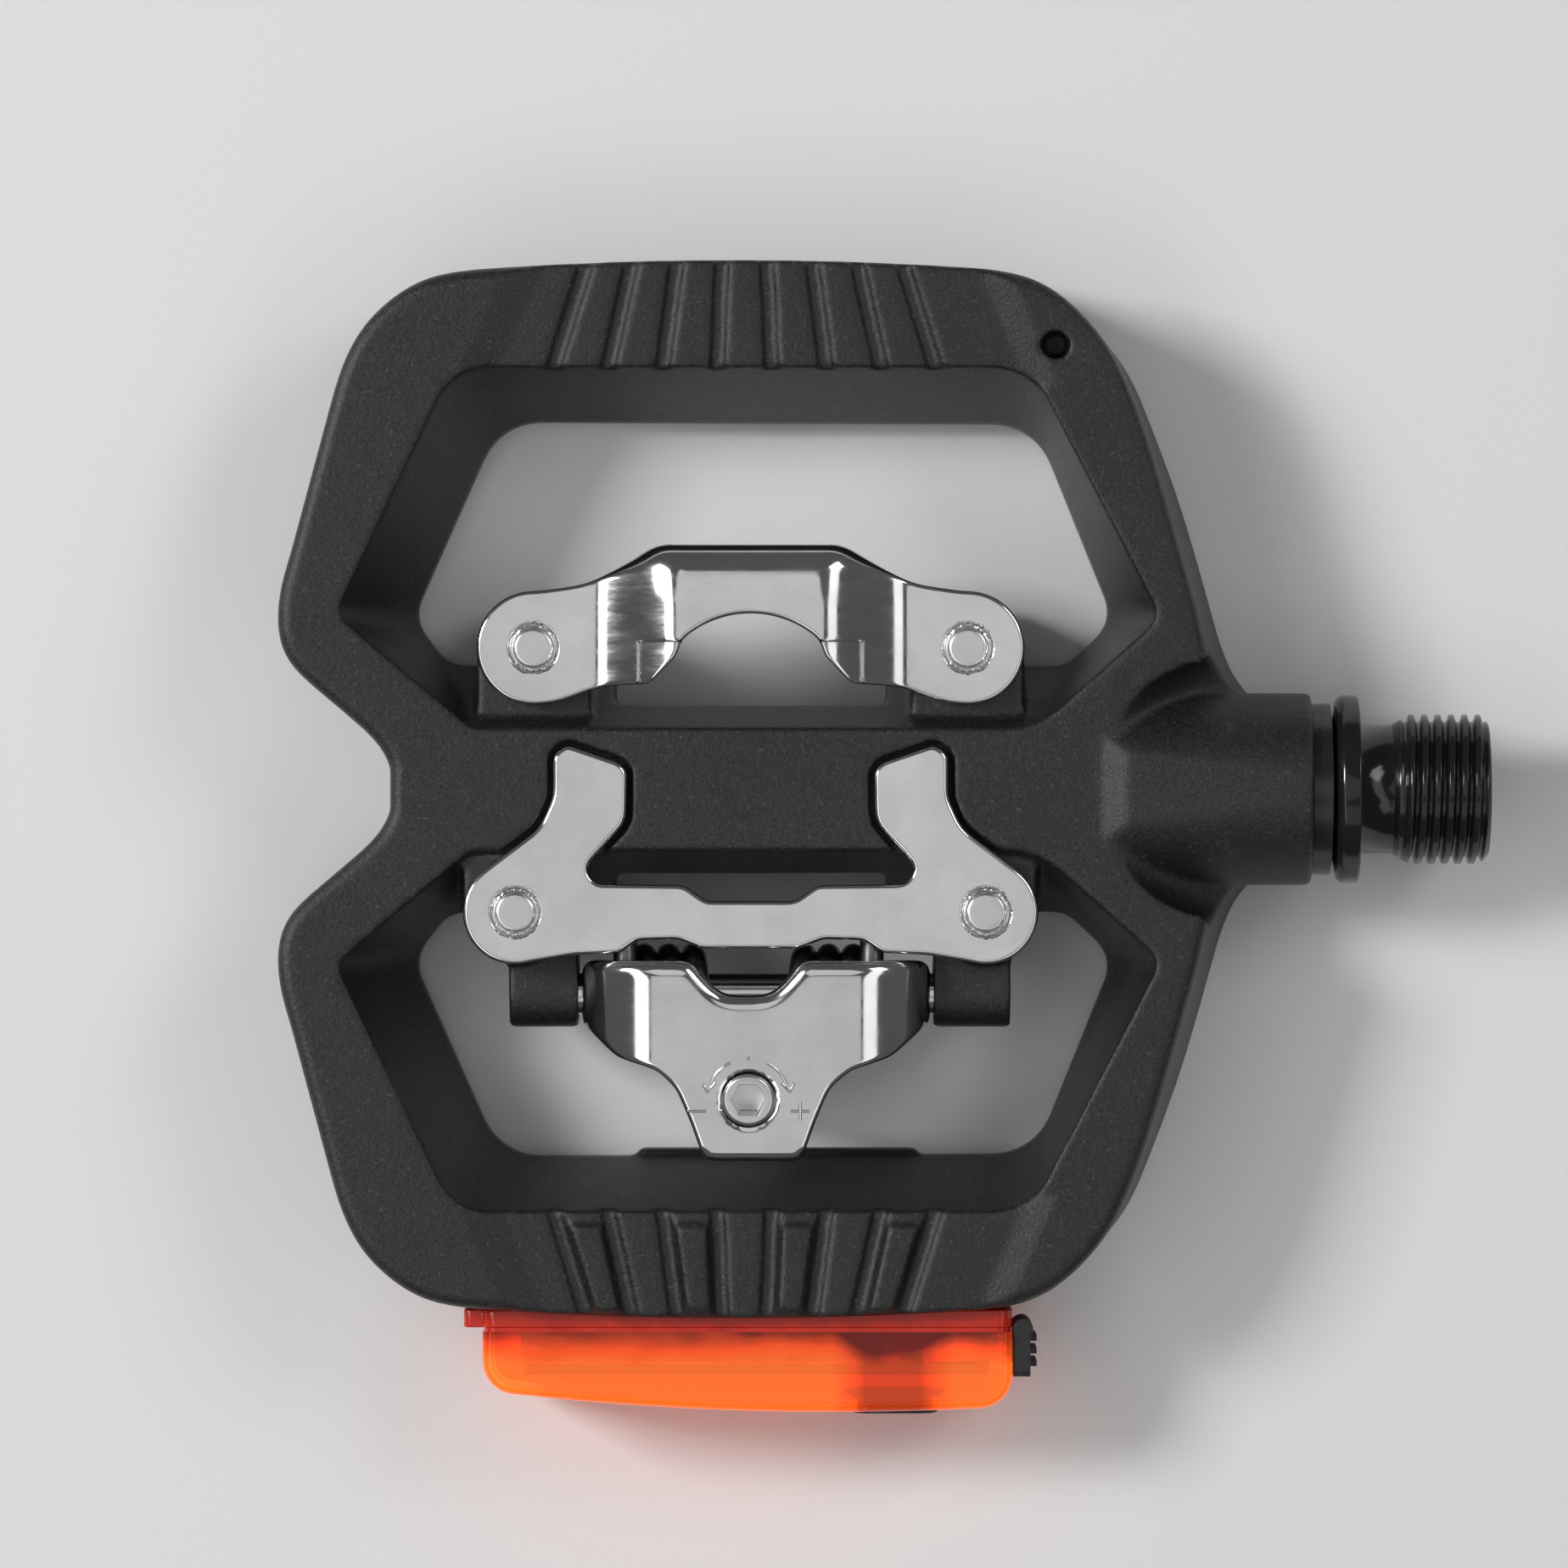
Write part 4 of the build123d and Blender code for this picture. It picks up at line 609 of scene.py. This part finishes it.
pressed_sheet(
    "front_claw", "front_claw_pressed",
    top=lambda x, y: claw_top(x, y) - rivet_ring(x, y, CLAW_RIVETS) - coined(x, y),
    bottom=claw_bottom, radius=claw_edge,
    holes=[(c, RIVET_R) for c in CLAW_RIVETS],
    extra=ring_points(CLAW_RIVETS) + coin_points(), corner=3,
)

# tread plate: flat, with its two tongues bent up a trace
PLATE_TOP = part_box("tread_plate")[1][2]
PLATE_T = 2.0 * MM
PLATE_RIVETS = [(CLIP_X + side * 22.3 * MM, -11.65 * MM) for side in (-1, 1)]
TONGUE_Y, TONGUE_SLOPE = -4.1 * MM, 0.018


def plate_top(x, y):
    """The tread plate's upper face; the tongues fall away a trace past their bend."""
    return PLATE_TOP - TONGUE_SLOPE * np.maximum(y - TONGUE_Y, 0) - rivet_ring(x, y, PLATE_RIVETS)


pressed_sheet(
    "tread_plate", "tread_plate_pressed",
    top=plate_top,
    bottom=lambda x, y, base: np.full_like(x, PLATE_TOP - PLATE_T),
    radius=lambda places: np.full(len(places), 0.42 * MM),
    holes=[(c, RIVET_R) for c in PLATE_RIVETS], extra=ring_points(PLATE_RIVETS), corner=1,
)

# rear jaw: a top that slopes to the tail, ears bent down to the hinge pin, lips rolled at both ends
JAW_X, JAW_HALF_W = -57.4 * MM, 16.6 * MM
JAW_FRONT_Y, JAW_TAIL_Y = -16.2 * MM, -35.3 * MM
JAW_TOP_Z, JAW_FALL, JAW_T = 10.8 * MM, 0.225, 2.0 * MM
EAR_BEND, EAR_LOW = 7.5 * MM, -2.3 * MM
FRONT_LIP, TAIL_LIP, SIDE_ROLL = 1.4 * MM, 0.9 * MM, 0.45 * MM
SCREW_X, SCREW_Y, SCREW_HOLE_R = -58.1 * MM, -29.4 * MM, 2.7 * MM


def ear_reach(x):
    """How far past the flat of the top, as a share of the bend."""
    return np.clip((np.abs(x - JAW_X) - (JAW_HALF_W - EAR_BEND)) / EAR_BEND, 0, 1)


def jaw_top(x, y):
    """The jaw's upper face before its edges are rolled."""
    bend = EAR_BEND * (1 - np.sqrt(np.maximum(1 - ear_reach(x) ** 2, 0.02)))
    return JAW_TOP_Z - JAW_FALL * (JAW_FRONT_Y - y) - bend


def jaw_edge(places):
    """Edge radius: a rolled lip in front and at the tail, small along the sides."""
    x, y = places.T
    front = eased((y + 21.0 * MM) / (1.2 * MM)) * eased((0.93 - ear_reach(x)) / 0.12)
    tail = eased((JAW_TAIL_Y + 1.2 * MM - y) / (0.6 * MM))
    return SIDE_ROLL + (FRONT_LIP - SIDE_ROLL) * front + (TAIL_LIP - SIDE_ROLL) * tail


def jaw_bottom(x, y, base):
    """The jaw's lower face, with the ears reaching down round the pin and the front hooked."""
    low = base - JAW_T * (1 + 0.6 * ear_reach(x) ** 2)
    ear = eased((np.abs(x - JAW_X) - (JAW_HALF_W - JAW_T - 0.3 * MM)) / (0.4 * MM))
    return low + (EAR_LOW - low) * ear


pressed_sheet(
    "rear_jaw", "rear_jaw_pressed", top=jaw_top, bottom=jaw_bottom, radius=jaw_edge,
    holes=[((SCREW_X, SCREW_Y), SCREW_HOLE_R)], corner=4,
)


# arrows, minus and plus raised round the tension screw
MARK_R, MARK_HALF_W = 3.9 * MM, 0.15 * MM
SIGN_X, SIGN_Y, SIGN_HALF = 4.9 * MM, -1.1 * MM, 0.9 * MM


def arc(start, end, count=12):
    """Places along an arc round the screw, from one angle to another in degrees."""
    turns = [math.radians(start + (end - start) * i / count) for i in range(count + 1)]
    return [(MARK_R * math.cos(t), MARK_R * math.sin(t)) for t in turns]


def mark_lines():
    """The arrows' arcs and heads, the minus and the plus, about the screw."""
    lines = [arc(20, 64), arc(116, 160), arc(88, 92, 2)]
    for side in (-1, 1):
        tip = (side * MARK_R, 0.7 * MM)
        wings = [(tip[0] + dx * side * MM, tip[1] + 0.9 * MM) for dx in (-0.75, 0.45)]
        lines.append([wings[0], tip, wings[1]])
        lines.append([(side * SIGN_X - SIGN_HALF, SIGN_Y), (side * SIGN_X + SIGN_HALF, SIGN_Y)])
    lines.append([(SIGN_X, SIGN_Y - SIGN_HALF), (SIGN_X, SIGN_Y + SIGN_HALF)])
    return lines


def jaw_marks():
    """The marks as one mesh of rounded beads sunk half into the jaw's top."""
    curve = bpy.data.curves.new("marks", "CURVE")
    curve.dimensions = "3D"
    curve.bevel_depth = MARK_HALF_W
    curve.bevel_resolution = 3
    curve.use_fill_caps = True
    for line in mark_lines():
        spline = curve.splines.new("POLY")
        spline.points.add(len(line) - 1)
        for point, (dx, dy) in zip(spline.points, line):
            x, y = SCREW_X + dx, SCREW_Y + dy
            height = JAW_TOP_Z - JAW_FALL * (JAW_FRONT_Y - y) - 0.06 * MM
            point.co = (x, y, height, 1)
    holder = linked("marks_curve", curve)
    data = bpy.data.meshes.new_from_object(holder)
    bpy.data.objects.remove(holder)
    piece = linked("jaw_marks", data)
    data.materials.clear()
    data.materials.append(MATERIALS["steel"])
    data.shade_smooth()
    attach(piece, "rear_jaw")


jaw_marks()


# ---------------------------------------------------------------- turned and moulded small parts
def rounded_copy(node, name, width):
    """The CAD node with its sharp edges rounded."""
    mesh = cad_copy(node)
    round_edges(mesh, sharp_edges(mesh), width)
    return finished(mesh, name, node)


for node, name, width in (
    ("claw_rivets", "claw_rivets_headed", 0.16 * MM),
    ("tread_plate_rivets", "tread_plate_rivets_headed", 0.16 * MM),
    ("tension_screw", "tension_screw_turned", 0.12 * MM),
    ("retaining_nut", "retaining_nut_turned", 0.12 * MM),
    ("port_cover", "port_cover_moulded", 0.2 * MM),
    ("power_button", "power_button_moulded", 0.2 * MM),
    ("light_back_cover", "light_back_cover_moulded", 0.2 * MM),
):
    rounded_copy(node, name, width)


# ---------------------------------------------------------------- spindle with its real thread
THREAD_START, THREAD_END = 3.2 * MM, 12.4 * MM
THREAD_PITCH, THREAD_R, THREAD_ROOT = 1.27 * MM, 7.14 * MM, 6.45 * MM
NECK_R, THREAD_TIP_R = 6.15 * MM, 6.29 * MM
AROUND, ALONG = 160, 150


def thread_radius(x, angle):
    """The left-hand thread's radius at a place along the spindle and an angle about it."""
    phase = (x / THREAD_PITCH + angle / (2 * math.pi)) % 1.0
    tooth = min(max(4.0 * abs(phase - 0.5) - 0.35, 0.0), 1.0)
    tooth = tooth * tooth * (3 - 2 * tooth)
    crest = min(THREAD_R, THREAD_TIP_R + (THREAD_END - x) * 1.1)
    root = min(THREAD_ROOT, NECK_R + (x - THREAD_START) * 0.6)
    runout = min(max((x - THREAD_START - 0.5 * MM) / (1.1 * MM), 0.0), 1.0)
    full = root + (max(crest, root) - root) * runout
    return min(crest, root + (full - root) * tooth)


def add_helix(mesh):
    """The thread's surface from its start to its end, row by row."""
    rows = []
    for i in range(ALONG + 1):
        x = THREAD_START + (THREAD_END - THREAD_START) * i / ALONG
        row = []
        for j in range(AROUND):
            angle = 2 * math.pi * j / AROUND
            radius = thread_radius(x, angle)
            row.append(mesh.verts.new((x, radius * math.cos(angle), radius * math.sin(angle))))
        rows.append(row)
    for first, second in zip(rows, rows[1:]):
        for j in range(AROUND):
            k = (j + 1) % AROUND
            mesh.faces.new((first[j], second[j], second[k], first[k]))


def threaded_spindle():
    """The CAD spindle with its rings cut away and a real helix in their place."""
    mesh = cad_copy("spindle")
    rings = [
        f for f in mesh.faces
        if all(v.co.x > THREAD_START - 0.01 * MM and math.hypot(v.co.y, v.co.z) > 5.2 * MM for v in f.verts)
        and not all(abs(v.co.x - THREAD_END) < 0.01 * MM for v in f.verts)
    ]
    bmesh.ops.delete(mesh, geom=rings, context="FACES")
    edges = [
        e for e in sharp_edges(mesh)
        if all(v.co.x < 1.0 * MM and math.hypot(v.co.y, v.co.z) > 8.0 * MM for v in e.verts)
    ]
    round_edges(mesh, edges, 0.25 * MM)
    add_helix(mesh)
    bmesh.ops.recalc_face_normals(mesh, faces=mesh.faces)
    return finished(mesh, "spindle_threaded", "spindle", 50)


threaded_spindle()


# ---------------------------------------------------------------- moulded body
SHELL_VOXEL = 0.34 * MM
SHELL_FACES = 190000


def flare_weight(place):
    """1 where the spindle's boss swells into the platform, 0 in the bore and away from it."""
    x, y, z = place
    if math.hypot(y, z) < 8.5 * MM and x > -34 * MM:
        return 0.0
    mouth = min(max((-7.5 * MM - x) / (4 * MM), 0), 1)
    inward = min(max((x + 38 * MM) / (6 * MM), 0), 1)
    sides = min(max((19 * MM - abs(y)) / (5 * MM), 0), 1)
    return mouth * inward * sides


def smooth_shell(piece):
    """Eases the whole shell a little, and the boss's flare more."""
    flare = piece.vertex_groups.new(name="flare")
    for vertex in piece.data.vertices:
        weight = flare_weight(vertex.co)
        if weight > 0.01:
            flare.add([vertex.index], weight, "REPLACE")
    for group, rounds in (("", 4), ("flare", 12)):
        smooth = piece.modifiers.new("smooth", "SMOOTH")
        smooth.factor = 0.5
        smooth.iterations = rounds
        smooth.vertex_group = group
        bpy.ops.object.modifier_apply(modifier="smooth")


def moulded_shell():
    """The CAD shell with every edge softened as a moulding's are."""
    mesh = cad_copy("body_shell")
    data = bpy.data.meshes.new("body_shell_moulded")
    mesh.to_mesh(data)
    mesh.free()
    piece = linked("body_shell_moulded", data)
    bpy.context.view_layer.objects.active = piece
    piece.select_set(True)
    remesh = piece.modifiers.new("remesh", "REMESH")
    remesh.mode = "VOXEL"
    remesh.voxel_size = SHELL_VOXEL * 1
    bpy.ops.object.modifier_apply(modifier="remesh")
    smooth_shell(piece)
    triangles = 2 * len(piece.data.polygons)
    if triangles > SHELL_FACES:
        fewer = piece.modifiers.new("fewer", "DECIMATE")
        fewer.ratio = SHELL_FACES / triangles
        bpy.ops.object.modifier_apply(modifier="fewer")
    piece.select_set(False)
    piece.data.materials.clear()
    piece.data.materials.append(MATERIALS["composite"])
    piece.data.shade_smooth()
    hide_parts("body_shell")
    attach(piece, "pedal")


moulded_shell()


# ---------------------------------------------------------------- floor, lights and camera
CENTRE = Vector((-54.74 * MM, 0.49 * MM, 0.0))


def area_light(name, place, size, power):
    """A soft rectangular light at one place, turned to the pedal."""
    light = bpy.data.lights.new(name, "AREA")
    light.shape = "RECTANGLE"
    light.size, light.size_y = size
    light.energy = power
    lamp = linked(name, light)
    lamp.location = CENTRE + Vector(place)
    lamp.rotation_euler = (-Vector(place)).to_track_quat("-Z", "Y").to_euler()


floor_z = CAD_BOX[0][2] - 0.05 * MM
bpy.ops.mesh.primitive_plane_add(size=6, location=(0, 0, floor_z))
floor = bpy.context.object
floor.name = "floor"
floor_material, _, floor_shader = new_material("floor_paint")
floor_shader.inputs["Base Color"].default_value = (0.8, 0.8, 0.8, 1)
floor_shader.inputs["Roughness"].default_value = 0.7
floor.data.materials.append(floor_material)

for name, place, size, power in (
    ("overhead", (-0.1, 0.1, 1.6), (0.8, 1.0), 1.35),
    ("overhead_heel", (0.0, -0.95, 1.5), (0.8, 0.75), 0.9),
    ("left_strip", (-0.85, -0.3, 1.3), (1.9, 0.5), 5.0),
    ("right_strip", (0.85, -0.3, 1.3), (1.9, 0.5), 3.2),
    ("key", (-1.15, 0.4, 1.0), (0.4, 0.4), 15),
    ("fill", (0.9, 0.6, 1.0), (0.5, 0.5), 3),
):
    area_light(name, place, size, power)

world = bpy.data.worlds.new("studio")
world.use_nodes = True
background = world.node_tree.nodes["Background"]
background.inputs["Color"].default_value = (0.8, 0.82, 0.85, 1)
background.inputs["Strength"].default_value = 0.11
bpy.context.scene.world = world
bpy.context.scene.view_settings.view_transform = "Standard"

VIEW_WIDTH = 149.64 * MM
VIEW_DISTANCE = 1.0
camera_data = bpy.data.cameras.new("camera")
camera_data.sensor_width = 36.0
camera_data.lens = camera_data.sensor_width * VIEW_DISTANCE / VIEW_WIDTH
camera = linked("camera", camera_data)
camera.location = CENTRE + Vector((0, 0, VIEW_DISTANCE))
bpy.context.scene.camera = camera
